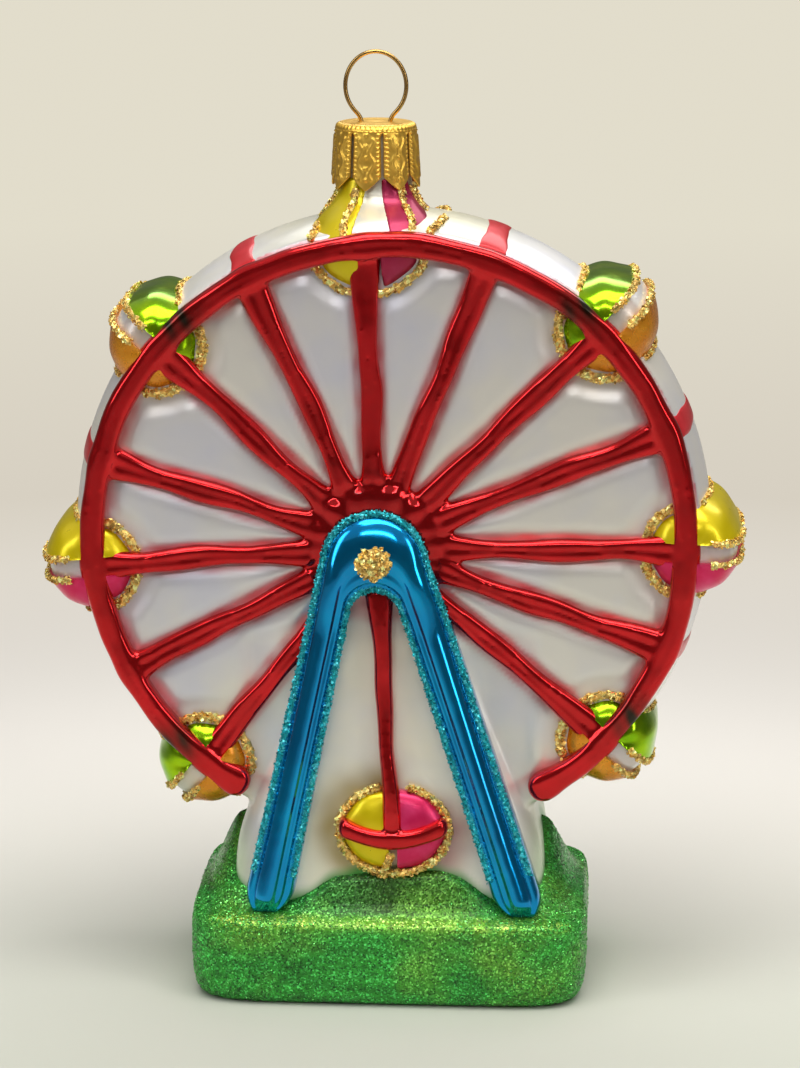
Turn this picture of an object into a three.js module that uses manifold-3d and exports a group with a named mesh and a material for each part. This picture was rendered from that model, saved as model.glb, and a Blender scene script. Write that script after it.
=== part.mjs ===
// Blown-glass Ferris wheel hanging ornament, in millimetres, +Z up.
// The wheel's axle runs along Y, the front face looks towards -Y, and the origin is the
// centre of the base's underside. The glass was blown in a two-part mould, so the back
// repeats the front as its mirror image. Each lacquer colour and each glitter line of the
// glass is its own solid. The gold cap lifts off the neck, and the wire hanger slides in it.
import * as THREE from "three";
import { mergeVertices } from "three/addons/utils/BufferGeometryUtils.js";
import Module from "manifold-3d";

const wasm = await Module();
wasm.setup();

// Clearances
const SEAT_GAP = 0.3; // between a moulded feature and the glass that carries it
const RUN_GAP = 0.25; // round pieces that move
const CUT_OVERRUN = 4; // how far a cutting solid runs past what it cuts
const WELD_DISTANCE = 1e-4; // vertices closer than this are one
const FINEST_DETAIL = 0.02; // edges shorter than this are dropped from the finished solids

// Glass wall, wheel drum and its bulging tread
const GLASS_WALL = 0.8;
const WHEEL_FACE_RADIUS = 43.7;
const WHEEL_HALF_DEPTH = 11;
const WHEEL_LIFT = 10.3; // from the base's shoulder up to the wheel's lowest point
const TREAD_BULGE = 1.8;

// Green base block with a low hill round the pedestal
const BASE_HALF_WIDTH = 28.6;
const BASE_HALF_DEPTH = 20;
const BASE_SHOULDER_Z = 13;
const WHEEL_CENTRE_Z = BASE_SHOULDER_Z + WHEEL_LIFT + WHEEL_FACE_RADIUS;
const BASE_SQUARENESS = 6; // the power of its superellipse outline
// [share of the shoulder height, share of the half width, share of the half depth]
const BASE_SECTION_SHARES = [
  [0, 0.94, 0.91],
  [0.1, 0.985, 0.975],
  [0.5, 1, 1],
  [0.84, 0.99, 0.985],
  [1, 0.955, 0.935],
  [1.15, 0.92, 0.885],
  [1.3, 0.88, 0.82],
];

// White pedestal between the wheel and the base, with a leaning front
const PEDESTAL_SUNK = 1; // below the base's shoulder
const PEDESTAL_TOP_DROP = 7; // below the wheel's centre
const PEDESTAL_SIDE_LEDGE = 6; // the base reaches this much further out at each side
const PEDESTAL_FRONT_LEDGE = 5; // and this much further out in front
const PEDESTAL_TOP_INSET = 0.2; // of its top end behind the wheel's face
const PEDESTAL_SQUARENESS = 7;
const PEDESTAL_HALF_WIDTH = BASE_HALF_WIDTH - PEDESTAL_SIDE_LEDGE;
const PEDESTAL_FOOT_HALF_DEPTH = BASE_HALF_DEPTH - PEDESTAL_FRONT_LEDGE;
const PEDESTAL_TOP_HALF_DEPTH = WHEEL_HALF_DEPTH - PEDESTAL_TOP_INSET;
const PEDESTAL_FOOT_Z = BASE_SHOULDER_Z - PEDESTAL_SUNK;
const PEDESTAL_HEIGHT = WHEEL_CENTRE_Z - PEDESTAL_TOP_DROP - PEDESTAL_FOOT_Z;
// [share of the height, share of the half width]
const PEDESTAL_WIDTH_SHARES = [
  [0, 0.97],
  [0.1, 1],
  [0.22, 0.97],
  [0.36, 0.86],
  [0.54, 0.72],
  [0.75, 0.6],
  [1, 0.5],
];

// Red lacquered rim, hub and spokes in relief on each face
const RIM_WIDTH = 3.4;
const RIM_PROUD = 2.6;
const RIM_SHOULDER_SHARE = 0.2;
const RIM_END_RIGHT = -62; // degrees round the wheel from +X
const RIM_END_LEFT = -118;
const HUB_X = -1.9; // the blown hub sits a little off the wheel's centre
const HUB_DROP = 1;
const HUB_Z = WHEEL_CENTRE_Z - HUB_DROP;
const HUB_RADIUS = 9.6;
const HUB_PROUD = 3.1;
// [share of the radius, share of the height] from the hub's edge to its middle
const HUB_DOME_SHARES = [[1, 0], [1, 0.25], [0.82, 0.75], [0.5, 1], [0, 1]];
const SPOKE_WIDTH = 3;
const SPOKE_PROUD = 2;
// [share of the half width, share of the height] round the section of a spoke
const SPOKE_SECTION_SHARES = [[-1, 0], [1, 0], [1, 0.5], [0.5, 1], [-0.5, 1], [-1, 0.5]];
const UPPER_SPOKES = [94.6, 70.8, 44.9, 22.2, -1.5, -21.3, -43, -128.6, -152, -174, 164.7, 140.3, 117.8];
const WEB = 0.6; // glass left under a ridge that passes over another feature

// Gondolas: a barrel through the wheel at each of these rim angles. The first colour lies
// anticlockwise of the spoke, seen from the front.
const GONDOLA_INSET = 1; // of their centres from the wheel's edge
const GONDOLA_CENTRE_RADIUS = WHEEL_FACE_RADIUS - GONDOLA_INSET;
const GONDOLA_RADIUS = 7.3;
const GONDOLA_PROUD = 2.2;
const GONDOLA_SQUARENESS = 3.5;
const GONDOLAS = [
  { place: "top", angle: 94.6, colours: ["yellow", "pink"] },
  { place: "upper_right", angle: 44.9, colours: ["green", "orange"] },
  { place: "right", angle: -1.5, colours: ["yellow", "pink"] },
  { place: "lower_right", angle: -43, colours: ["green", "orange"] },
  { place: "lower_left", angle: -128.6, colours: ["orange", "green"] },
  { place: "left", angle: -174, colours: ["pink", "yellow"] },
  { place: "upper_left", angle: 140.3, colours: ["orange", "green"] },
];
const TOP_GONDOLA_RADIUS = 9.9; // the top one is larger and is drawn up into the neck
const TOP_GONDOLA_X = -2.9;
const TOP_GONDOLA_INNER_Y = 4; // the neck stands between its front and its back
// [share of the way out from the neck, share of the way down from the cap's foot]
const TOP_DOME_SHARES = [[1, 1], [0.92, 0.72], [0.76, 0.42], [0.54, 0.2], [0.3, 0.06], [0.1, 0]];
const GLITTER_WIDTH = 1.2;
const GLITTER_PROUD = 0.7;
const GLITTER_GAP = 0.25; // between a gondola's edge and its glitter line
const GLITTER_SLOPE_SHARE = 0.25; // of its width, on each side

// Red bands painted across the tread between the two rims
const BAND_ANGLES = [70.8, 22.2, -21.3, -152, 164.7, 117.8];
const BAND_WIDTH = 3.6;
const BAND_THICKNESS = 0.5;

// Blue A-frame on each side, drawn in the plane of the pedestal's leaning front
const LEG_APEX_DROP = 2; // below the hub
const LEG_APEX_Z = HUB_Z - LEG_APEX_DROP;
const LEG_APEX_RADIUS = 7.4;
const LEG_ARCH_DROP = 8.2; // below the apex's centre
const LEG_ARCH_RADIUS = 3.7;
const LEG_WIDTH = 7.2; // measured level, at the feet
const LEFT_FOOT_X = -17.5;
const RIGHT_FOOT_X = 19.6;
const LEG_FLANGE = 2.3;
const LEG_RIDGE = 1.3;
const LEG_SHOULDER = 1.5; // the flange's step, which carries the glitter edging
const LEG_ROOT = 3; // how far the leg reaches in before it is fitted to the glass behind
const LEG_GLITTER_PROUD = 0.6;
const HUB_DOT_RADIUS = 2.6;
const HUB_DOT_PROUD = 0.9;
const HUB_DOT_SHARES = [[1, 0], [0.8, 0.8], [0, 1]]; // [share of the radius, share of the height]

// Bottom gondola between the legs, with the spoke and the curved bar that cross it
const BOTTOM_GONDOLA_X = 0.9;
const BOTTOM_GONDOLA_Z = WHEEL_CENTRE_Z - GONDOLA_CENTRE_RADIUS;
const BOTTOM_GONDOLA_RADIUS = 7.4;
const BOTTOM_GONDOLA_PROUD = 2.4;
const BOTTOM_HEIGHT_SHARE = 0.9; // it is this much less high than wide
const BOTTOM_SPOKE_TOP_X = -1.2;
const BOTTOM_SPOKE_PROUD = 3.2;
const BAR_HALF_WIDTH = 7.2;
const BAR_BREADTH = 2.4;
const DOME_RISE_SHARES = [0, 0.4, 0.75, 1];

// Neck, and the flare that joins it to the wheel
const NECK_X = -2.5;
const NECK_RADIUS = 5;
const NECK_WALL = 0.9;
const NECK_HEIGHT = 11.5; // above the tread
const FLARE_HALF_HEIGHT = 5; // above and below the tread
const FLARE_RADIUS = 11.5;
const TREAD_TOP_Z = WHEEL_CENTRE_Z + WHEEL_FACE_RADIUS + TREAD_BULGE;
const NECK_TOP_Z = TREAD_TOP_Z + NECK_HEIGHT;

// Gold crown cap
const CAP_SHEET = 0.3;
const CAP_HEIGHT = 9.2;
const CAP_TOP_RADIUS = 5.65;
const CAP_RIM_RADIUS = 6.2;
const CAP_EDGE_ROUND = 0.6;
const CAP_FINGERS = 8;
const CAP_TURN = 13; // degrees from the front round to its first slit
const CAP_SLIT = 0.35;
const CAP_TIP_HEIGHT = 1.9;
const CAP_SLIT_BELOW_TOP = 1.3;
const CAP_TOP_Z = NECK_TOP_Z + SEAT_GAP + CAP_SHEET;
const CAP_FOOT_Z = CAP_TOP_Z - CAP_HEIGHT;

// Wire hanger: an open ring whose two prongs bow against the inside of the neck
const WIRE_RADIUS = 0.32;
const RING_HALF_WIDTH = 4.35;
const RING_HALF_HEIGHT = 4.85;
const RING_LIFT = 0.15; // of its lowest point above the cap, were the ring closed
const RING_END = 60; // degrees below its middle at which the wire turns down into the cap
const HANGER_TRAVEL = 5;
const PRONG_X = 1.8; // half the distance between the prongs where they start down
const PRONG_TOP_DEPTH = 1.35; // depths are below the cap's top
const PRONG_STRAIGHT_DEPTH = HANGER_TRAVEL + 2 * PRONG_TOP_DEPTH;
const PRONG_BOW_DEPTH = 12.5;
const PRONG_BOW_X = NECK_RADIUS - NECK_WALL - WIRE_RADIUS - RUN_GAP;
const PRONG_END_DEPTH = 17.5;
const PRONG_END_X = 2.4;

// Smoothness of the round forms
const DRUM_SIDES = 60;
const RING_SIDES = 60;
const LOFT_SIDES = 32;
const NECK_SIDES = 24;
const GONDOLA_SIDES = 20;
const DOT_SIDES = 16;
const WIRE_SIDES = 6;
const TREAD_STEPS = 4;
const BARREL_STEPS = 8;
const FLARE_STEPS = 4;
const ARC_STEPS = 10;
const RING_STEPS = 26;

const LACQUERS = {
  pearl: { color: 0xe9e6df, roughness: 0.35, metalness: 0.1 },
  red: { color: 0xb3121d, roughness: 0.12, metalness: 0.85 },
  blue: { color: 0x0a7fb5, roughness: 0.1, metalness: 0.9 },
  teal_glitter: { color: 0x1f9aa8, roughness: 0.45, metalness: 0.7 },
  gold_glitter: { color: 0xc39a3a, roughness: 0.4, metalness: 0.8 },
  green_glitter: { color: 0x2f9a3a, roughness: 0.45, metalness: 0.5 },
  yellow: { color: 0xd9cf1c, roughness: 0.2, metalness: 0.4 },
  pink: { color: 0xc93a86, roughness: 0.25, metalness: 0.4 },
  green: { color: 0x5fae1e, roughness: 0.15, metalness: 0.7 },
  orange: { color: 0xcf7f26, roughness: 0.25, metalness: 0.4 },
  cap_gold: { color: 0xcfa84a, roughness: 0.3, metalness: 1 },
  wire_brass: { color: 0x9c7434, roughness: 0.3, metalness: 1 },
};

const radians = THREE.MathUtils.degToRad;
const ornament = new THREE.Group();

// A closed geometry as a solid that can be cut and joined.
function solid(geometry) {
  const bare = geometry.clone();
  bare.deleteAttribute("normal");
  bare.deleteAttribute("uv");
  const merged = mergeVertices(bare, WELD_DISTANCE);
  const corners = merged.index.array;
  const kept = [];
  for (let i = 0; i < corners.length; i += 3) {
    const [a, b, c] = [corners[i], corners[i + 1], corners[i + 2]];
    if (a !== b && b !== c && c !== a) kept.push(a, b, c);
  }
  const vertProperties = merged.attributes.position.array;
  const make = (list) =>
    new wasm.Manifold(new wasm.Mesh({ numProp: 3, vertProperties, triVerts: new Uint32Array(list) }));
  const made = make(kept);
  return made.volume() > 0 ? made : make(kept.reverse());
}

function geometryOf(body) {
  const mesh = body.getMesh();
  const positions = new Float32Array(mesh.numVert * 3);
  for (let i = 0; i < mesh.numVert; i++) {
    positions.set(mesh.vertProperties.subarray(i * mesh.numProp, i * mesh.numProp + 3), i * 3);
  }
  const geometry = new THREE.BufferGeometry();
  geometry.setAttribute("position", new THREE.BufferAttribute(positions, 3));
  geometry.setIndex(new THREE.BufferAttribute(new Uint32Array(mesh.triVerts), 1));
  return geometry;
}

// The same solid seen in the mirror plane y = 0: the back of the ornament from its front.
function mirrored(body) {
  const geometry = geometryOf(body);
  geometry.applyMatrix4(new THREE.Matrix4().makeScale(1, -1, 1));
  return solid(geometry);
}

const joined = (bodies) => bodies.reduce((all, body) => all.add(body));

// The solid without the loose chips that a cut can leave beside its main body.
function withoutChips(body) {
  const byVolume = (a, b) => b.volume() - a.volume();
  return body.decompose().sort(byVolume)[0].asOriginal().simplify(FINEST_DETAIL);
}

function addNode(name, body, lacquer) {
  const flat = geometryOf(withoutChips(body)).toNonIndexed();
  flat.computeVertexNormals();
  const mesh = new THREE.Mesh(flat, new THREE.MeshStandardMaterial(LACQUERS[lacquer]));
  mesh.name = name;
  ornament.add(mesh);
}

// A profile of [radius, height] pairs turned about the Y axis.
function turned(profile, sides) {
  return new THREE.LatheGeometry(profile.map(([r, h]) => new THREE.Vector2(r, h)), sides);
}

// The same, about the Z axis.
function turnedUpright(profile, sides) {
  return turned(profile, sides).rotateX(Math.PI / 2);
}

// An outline of [x, z] pairs, from the plane y = back to the plane y = front.
function slab(outline, back, front) {
  const shape = new THREE.Shape(outline.map(([x, z]) => new THREE.Vector2(x, z)));
  const thick = new THREE.ExtrudeGeometry(shape, { depth: back - front, bevelEnabled: false });
  return thick.rotateX(Math.PI / 2).translate(0, back, 0);
}

// A cosine or sine bent towards a square: the rounding error of a whole quarter turn stays zero.
function bend(value, power) {
  return Math.abs(value) < Number.EPSILON ? 0 : Math.sign(value) * Math.abs(value) ** (2 / power);
}

function superellipse(halfX, halfY, power, sides) {
  return Array.from({ length: sides }, (_, i) => {
    const turn = (i * 2 * Math.PI) / sides;
    return [halfX * bend(Math.cos(turn), power), halfY * bend(Math.sin(turn), power)];
  });
}

// A skin through level rings of points, closed by a flat fan at each end.
function loft(rings) {
  const sides = rings[0].points.length;
  const positions = rings.flatMap(({ z, points }) => points.flatMap(([x, y]) => [x, y, z]));
  const [low, high] = [rings[0].z, rings[rings.length - 1].z];
  positions.push(0, 0, low, 0, 0, high);
  const lowCentre = rings.length * sides;
  const index = [];
  for (let side = 0; side < sides; side++) {
    const next = (side + 1) % sides;
    for (let ring = 0; ring + 1 < rings.length; ring++) {
      const [a, b] = [ring * sides + side, ring * sides + next];
      index.push(a, b, b + sides, a, b + sides, a + sides);
    }
    const top = (rings.length - 1) * sides;
    index.push(lowCentre, next, side, lowCentre + 1, top + side, top + next);
  }
  const geometry = new THREE.BufferGeometry();
  geometry.setAttribute("position", new THREE.Float32BufferAttribute(positions, 3));
  geometry.setIndex(index);
  return geometry;
}

const onWheel = (radius, angle) => [
  radius * Math.cos(radians(angle)),
  WHEEL_CENTRE_Z + radius * Math.sin(radians(angle)),
];

// The drum: two flat faces and a tread that bulges between them. Inset moves its skin inwards.
function drum(inset) {
  const half = WHEEL_HALF_DEPTH - inset;
  const face = WHEEL_FACE_RADIUS - inset;
  const profile = [[0, -half]];
  for (let i = 0; i <= TREAD_STEPS; i++) {
    const across = (2 * i) / TREAD_STEPS - 1;
    profile.push([face + TREAD_BULGE * (1 - across * across), across * half]);
  }
  profile.push([0, half]);
  return solid(turned(profile, DRUM_SIDES).translate(0, 0, WHEEL_CENTRE_Z));
}

const lean = Math.atan((PEDESTAL_FOOT_HALF_DEPTH - PEDESTAL_TOP_HALF_DEPTH) / PEDESTAL_HEIGHT);

// The pedestal, whose foot can be run down past its own end to open or to cut.
function pedestal(inset, footDrop) {
  const ring = (rise, widthShare) => {
    const halfWidth = PEDESTAL_HALF_WIDTH * widthShare - inset;
    const halfDepth = PEDESTAL_FOOT_HALF_DEPTH - rise * Math.tan(lean) - inset;
    const points = superellipse(halfWidth, halfDepth, PEDESTAL_SQUARENESS, LOFT_SIDES);
    return { z: PEDESTAL_FOOT_Z + rise, points };
  };
  const rings = PEDESTAL_WIDTH_SHARES.map(([height, width]) => ring(height * PEDESTAL_HEIGHT, width));
  const foot = ring(-footDrop, PEDESTAL_WIDTH_SHARES[0][1]);
  return solid(loft(footDrop > 0 ? [foot, ...rings] : rings));
}

function base(inset) {
  const topShare = BASE_SECTION_SHARES[BASE_SECTION_SHARES.length - 1][0];
  const rings = BASE_SECTION_SHARES.map(([height, width, depth]) => {
    const [halfWidth, halfDepth] = [BASE_HALF_WIDTH * width - inset, BASE_HALF_DEPTH * depth - inset];
    return {
      z: BASE_SHOULDER_Z * height + inset * (1 - (2 * height) / topShare),
      points: superellipse(halfWidth, halfDepth, BASE_SQUARENESS, LOFT_SIDES),
    };
  });
  return solid(loft(rings));
}

// The neck on its flare. Inset moves its skin inwards, and overrun lengthens its top.
function neck(inset, overrun) {
  const flareFoot = TREAD_TOP_Z - FLARE_HALF_HEIGHT;
  const profile = [[0, flareFoot]];
  for (let i = 0; i <= FLARE_STEPS; i++) {
    const up = i / FLARE_STEPS;
    const radius = NECK_RADIUS + (FLARE_RADIUS - NECK_RADIUS) * (1 - up) ** 2;
    profile.push([radius - inset, flareFoot + up * 2 * FLARE_HALF_HEIGHT]);
  }
  profile.push([NECK_RADIUS - inset, NECK_TOP_Z + overrun], [0, NECK_TOP_Z + overrun]);
  return solid(turnedUpright(profile, NECK_SIDES).translate(NECK_X, 0, 0));
}

const gondolaHalfDepth = WHEEL_HALF_DEPTH + GONDOLA_PROUD;
const topCentre = [TOP_GONDOLA_X, WHEEL_CENTRE_Z + WHEEL_FACE_RADIUS];
const gondolas = GONDOLAS.map((gondola) => {
  if (gondola.place === "top") {
    return { ...gondola, radius: TOP_GONDOLA_RADIUS, centre: topCentre };
  }
  return { ...gondola, radius: GONDOLA_RADIUS, centre: onWheel(GONDOLA_CENTRE_RADIUS, gondola.angle) };
});

// A gondola's barrel through the wheel: a superellipse profile turned about its own Y axis.
function gondolaBarrel({ radius, centre }, grow) {
  const profile = Array.from({ length: BARREL_STEPS + 1 }, (_, i) => {
    const turn = Math.PI * (i / BARREL_STEPS - 1 / 2);
    return [
      (radius + grow) * bend(Math.cos(turn), GONDOLA_SQUARENESS),
      (gondolaHalfDepth + grow) * bend(Math.sin(turn), GONDOLA_SQUARENESS),
    ];
  });
  return solid(turned(profile, GONDOLA_SIDES).translate(centre[0], 0, centre[1]));
}

// A strip along a radius of the wheel, between two radii, as wide as given, through the depth.
function radialStrip(angle, inner, outer, low, high) {
  const reach = gondolaHalfDepth + CUT_OVERRUN;
  const flat = slab([[inner, low], [outer, low], [outer, high], [inner, high]], reach, -reach);
  return solid(flat.rotateY(-radians(angle)).translate(0, 0, WHEEL_CENTRE_Z));
}

const wheelReach = WHEEL_FACE_RADIUS + TREAD_BULGE + GONDOLA_RADIUS + CUT_OVERRUN;

// Everything between the planes y = back and y = front, up to the height top.
function depthRange(back, front, top) {
  return solid(slab([[-wheelReach, 0], [wheelReach, 0], [wheelReach, top], [-wheelReach, top]], back, front));
}
const middleRange = (half) => depthRange(half, -half, NECK_TOP_Z);

// Pearl glass: drum, pedestal, neck and the white stripe of each gondola, blown hollow
const stripeHalf = SPOKE_WIDTH / 2;
const whiteStripes = gondolas
  .filter(({ place }) => place !== "top")
  .map((gondola) => {
    const root = WHEEL_FACE_RADIUS - TREAD_BULGE;
    const stripe = radialStrip(gondola.angle, root, wheelReach, -stripeHalf, stripeHalf);
    return gondolaBarrel(gondola, 0).intersect(stripe).intersect(middleRange(WHEEL_HALF_DEPTH));
  });

const pearlForm = joined([drum(0), pedestal(0, 0), neck(0, 0), ...whiteStripes]);
const cavity = joined([drum(GLASS_WALL), pedestal(GLASS_WALL, CUT_OVERRUN), neck(NECK_WALL, CUT_OVERRUN)]);
addNode("wheel_glass", pearlForm.subtract(cavity), "pearl");
const baseShell = base(0).subtract(base(GLASS_WALL));
addNode("base_glass", baseShell.subtract(pedestal(-SEAT_GAP, CUT_OVERRUN)), "green_glitter");

// What a relief feature is fitted to: the pearl glass and the base, grown by the seat gap
const baseSeat = base(-SEAT_GAP);
const pedestalSeat = pedestal(-SEAT_GAP, 0).add(baseSeat);
const seatForm = joined([drum(-SEAT_GAP), pedestalSeat, neck(-SEAT_GAP, 0)]);

const facePlane = -WHEEL_HALF_DEPTH;
const rimInner = WHEEL_FACE_RADIUS - RIM_WIDTH;

// The rim's section: flat on the glass, rounded in front. Grow widens it for a clearance.
function rimRing(grow, seat) {
  const [inner, outer] = [rimInner - grow, WHEEL_FACE_RADIUS + grow];
  const [low, top] = [facePlane - seat, facePlane - RIM_PROUD - grow];
  const shoulder = RIM_WIDTH * RIM_SHOULDER_SHARE;
  const profile = [
    [inner, low],
    [outer, low],
    [outer, top + shoulder],
    [outer - shoulder, top],
    [inner + shoulder, top],
    [inner, top + shoulder],
    [inner, low],
  ];
  return solid(turned(profile, RING_SIDES).translate(0, 0, WHEEL_CENTRE_Z));
}

// The pie slice of the wheel between two angles, over the whole depth.
function slice(from, to) {
  const outline = [[0, WHEEL_CENTRE_Z]];
  for (let i = 0; i <= ARC_STEPS; i++) {
    outline.push(onWheel(wheelReach, from + ((to - from) * i) / ARC_STEPS));
  }
  const reach = gondolaHalfDepth + CUT_OVERRUN;
  return solid(slab(outline, reach, -reach));
}

// A drawing in the plane of the pedestal's leaning front, brought to its place. In it, x is
// across, z is up the slope from the height of the pedestal's foot, and -y stands out.
function leaned(geometry) {
  return solid(geometry.rotateX(-lean).translate(0, -PEDESTAL_FOOT_HALF_DEPTH, PEDESTAL_FOOT_Z));
}
const upSlope = (z) => (z - PEDESTAL_FOOT_Z) / Math.cos(lean);

function arc(centre, radius, from, to, steps) {
  return Array.from({ length: steps + 1 }, (_, i) => {
    const turn = from + ((to - from) * i) / steps;
    return [centre[0] + radius * Math.cos(turn), centre[1] + radius * Math.sin(turn)];
  });
}

// The arc over a circle between the tangents from a left and a right foot.
function archOver(centre, radius, left, right) {
  const tangent = (foot, side) => {
    const [dx, dy] = [foot[0] - centre[0], foot[1] - centre[1]];
    return Math.atan2(dy, dx) + side * Math.acos(radius / Math.hypot(dx, dy));
  };
  return arc(centre, radius, tangent(left, -1) + 2 * Math.PI, tangent(right, 1), ARC_STEPS);
}

// The A-frame's two edges. Grow moves both of them off the leg's own face.
function legOutline(grow) {
  const foot = upSlope(BASE_SHOULDER_Z);
  const half = LEG_WIDTH / 2 + grow;
  const apex = [HUB_X, upSlope(LEG_APEX_Z)];
  const arch = [HUB_X, upSlope(LEG_APEX_Z - LEG_ARCH_DROP)];
  const outer = [[LEFT_FOOT_X - half, foot], [RIGHT_FOOT_X + half, foot]];
  const inner = [[LEFT_FOOT_X + half, foot], [RIGHT_FOOT_X - half, foot]];
  return {
    outer: [outer[0], ...archOver(apex, LEG_APEX_RADIUS + grow, ...outer), outer[1]],
    inner: [inner[0], ...archOver(arch, LEG_ARCH_RADIUS - grow, ...inner), inner[1]],
  };
}
const between = ({ outer, inner }) => [...outer, ...inner.slice().reverse()];

const legFront = -LEG_FLANGE - LEG_RIDGE;
const legFlange = leaned(slab(between(legOutline(0)), LEG_ROOT, -LEG_FLANGE));
const legRidge = leaned(slab(between(legOutline(-LEG_SHOULDER)), 0, legFront));
const legClearance = leaned(slab(between(legOutline(SEAT_GAP)), LEG_ROOT, legFront - CUT_OVERRUN));

function hubForm(grow) {
  const skin = HUB_DOME_SHARES.map(([out, up]) => [
    (HUB_RADIUS + grow) * out,
    facePlane - (HUB_PROUD + grow) * up,
  ]);
  return solid(turned([[0, facePlane], ...skin], NECK_SIDES).translate(HUB_X, 0, HUB_Z));
}

// A spoke from the hub's centre to the rim, with a section that is flat behind and rounded in front.
function spoke(angle, grow) {
  const [endX, endZ] = onWheel(rimInner - SEAT_GAP + grow, angle);
  const [dx, dz] = [endX - HUB_X, endZ - HUB_Z];
  const half = SPOKE_WIDTH / 2 + grow;
  const top = SPOKE_PROUD + grow;
  const corners = SPOKE_SECTION_SHARES.map(([out, up]) => new THREE.Vector2(half * out, top * up));
  const section = new THREE.Shape(corners);
  const bar = new THREE.ExtrudeGeometry(section, { depth: Math.hypot(dx, dz), bevelEnabled: false });
  // The section's y becomes -Y, and its length runs along +X before the bar is turned.
  bar.applyMatrix4(new THREE.Matrix4().set(0, 0, 1, 0, 0, -1, 0, 0, 1, 0, 0, 0, 0, 0, 0, 1));
  return solid(bar.rotateY(-Math.atan2(dz, dx)).translate(HUB_X, facePlane, HUB_Z));
}

function hubWithSpokes(grow) {
  const spokes = UPPER_SPOKES.map((angle) => spoke(angle, grow));
  return joined([hubForm(grow), ...spokes]);
}

// A line of glitter round a gondola on the face, inside the rim. The barrel narrows to
// this share of its radius where it meets the face.
const depthShare = WHEEL_HALF_DEPTH / gondolaHalfDepth;
const faceShare = (1 - depthShare ** GONDOLA_SQUARENESS) ** (1 / GONDOLA_SQUARENESS);
function gondolaGlitter({ radius, centre }, grow) {
  const edgeRadius = radius * faceShare + GLITTER_GAP;
  const [near, far] = [edgeRadius - grow, edgeRadius + GLITTER_WIDTH + grow];
  const top = facePlane - GLITTER_PROUD - grow;
  const edge = (far - near) * GLITTER_SLOPE_SHARE;
  const section = [[near, facePlane], [far, facePlane], [far - edge, top], [near + edge, top]];
  const line = solid(turned([...section, section[0]], GONDOLA_SIDES).translate(centre[0], 0, centre[1]));
  const reach = rimInner - SEAT_GAP + grow;
  const disc = [[0, 0], [reach, 0], [reach, -gondolaHalfDepth], [0, -gondolaHalfDepth]];
  return line.intersect(solid(turned(disc, RING_SIDES).translate(0, 0, WHEEL_CENTRE_Z)));
}

// The front relief, from the glass outwards
const glitterCuts = joined(gondolas.map((gondola) => gondolaGlitter(gondola, SEAT_GAP)));
const gondolaSeats = joined(gondolas.map((gondola) => gondolaBarrel(gondola, SEAT_GAP)))
  .intersect(middleRange(WHEEL_HALF_DEPTH + WEB + 2 * SEAT_GAP));
const spokeWeb = hubWithSpokes(SEAT_GAP).intersect(middleRange(WHEEL_HALF_DEPTH + WEB + SEAT_GAP));
const legs = legFlange.add(legRidge).subtract(seatForm).subtract(spokeWeb);

const rimArc = rimRing(0, 0)
  .intersect(slice(RIM_END_RIGHT, RIM_END_LEFT + 360))
  .subtract(gondolaSeats)
  .subtract(pedestalSeat);
const hubAndSpokes = hubWithSpokes(0)
  .subtract(glitterCuts)
  .subtract(gondolaSeats)
  .subtract(legClearance.subtract(middleRange(WHEEL_HALF_DEPTH + WEB)))
  .subtract(pedestalSeat);

// Bottom gondola, its bar and its spoke, all in the leaning plane
const bottomCentre = [BOTTOM_GONDOLA_X, upSlope(BOTTOM_GONDOLA_Z)];
function bottomDisc(radius, back, front) {
  const circle = arc([0, 0], radius, 0, 2 * Math.PI, GONDOLA_SIDES).slice(1);
  const flattened = slab(circle, back, front).scale(1, 1, BOTTOM_HEIGHT_SHARE);
  return leaned(flattened.translate(bottomCentre[0], 0, bottomCentre[1]));
}
const domeSkin = DOME_RISE_SHARES.map((rise) => [
  BOTTOM_GONDOLA_RADIUS * Math.cbrt(1 - rise ** 3),
  -BOTTOM_GONDOLA_PROUD * rise,
]);
const bottomDome = leaned(
  turned([[0, LEG_ROOT], [BOTTOM_GONDOLA_RADIUS, LEG_ROOT], ...domeSkin], GONDOLA_SIDES)
    .scale(1, 1, BOTTOM_HEIGHT_SHARE)
    .translate(bottomCentre[0], 0, bottomCentre[1]),
);
// The curved bar is a stretch of the circle on which the gondolas are centred.
function bottomBar(grow, back) {
  const centre = [0, upSlope(WHEEL_CENTRE_Z)];
  const radius = centre[1] - bottomCentre[1];
  const turnTo = (x) => x / radius - Math.PI / 2;
  const ends = [turnTo(BOTTOM_GONDOLA_X - BAR_HALF_WIDTH), turnTo(BOTTOM_GONDOLA_X + BAR_HALF_WIDTH)];
  const outline = [
    ...arc(centre, radius + BAR_BREADTH / 2 + grow, ends[0], ends[1], ARC_STEPS),
    ...arc(centre, radius - BAR_BREADTH / 2 - grow, ends[1], ends[0], ARC_STEPS),
  ];
  return leaned(slab(outline, back, -BOTTOM_SPOKE_PROUD - grow));
}
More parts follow.
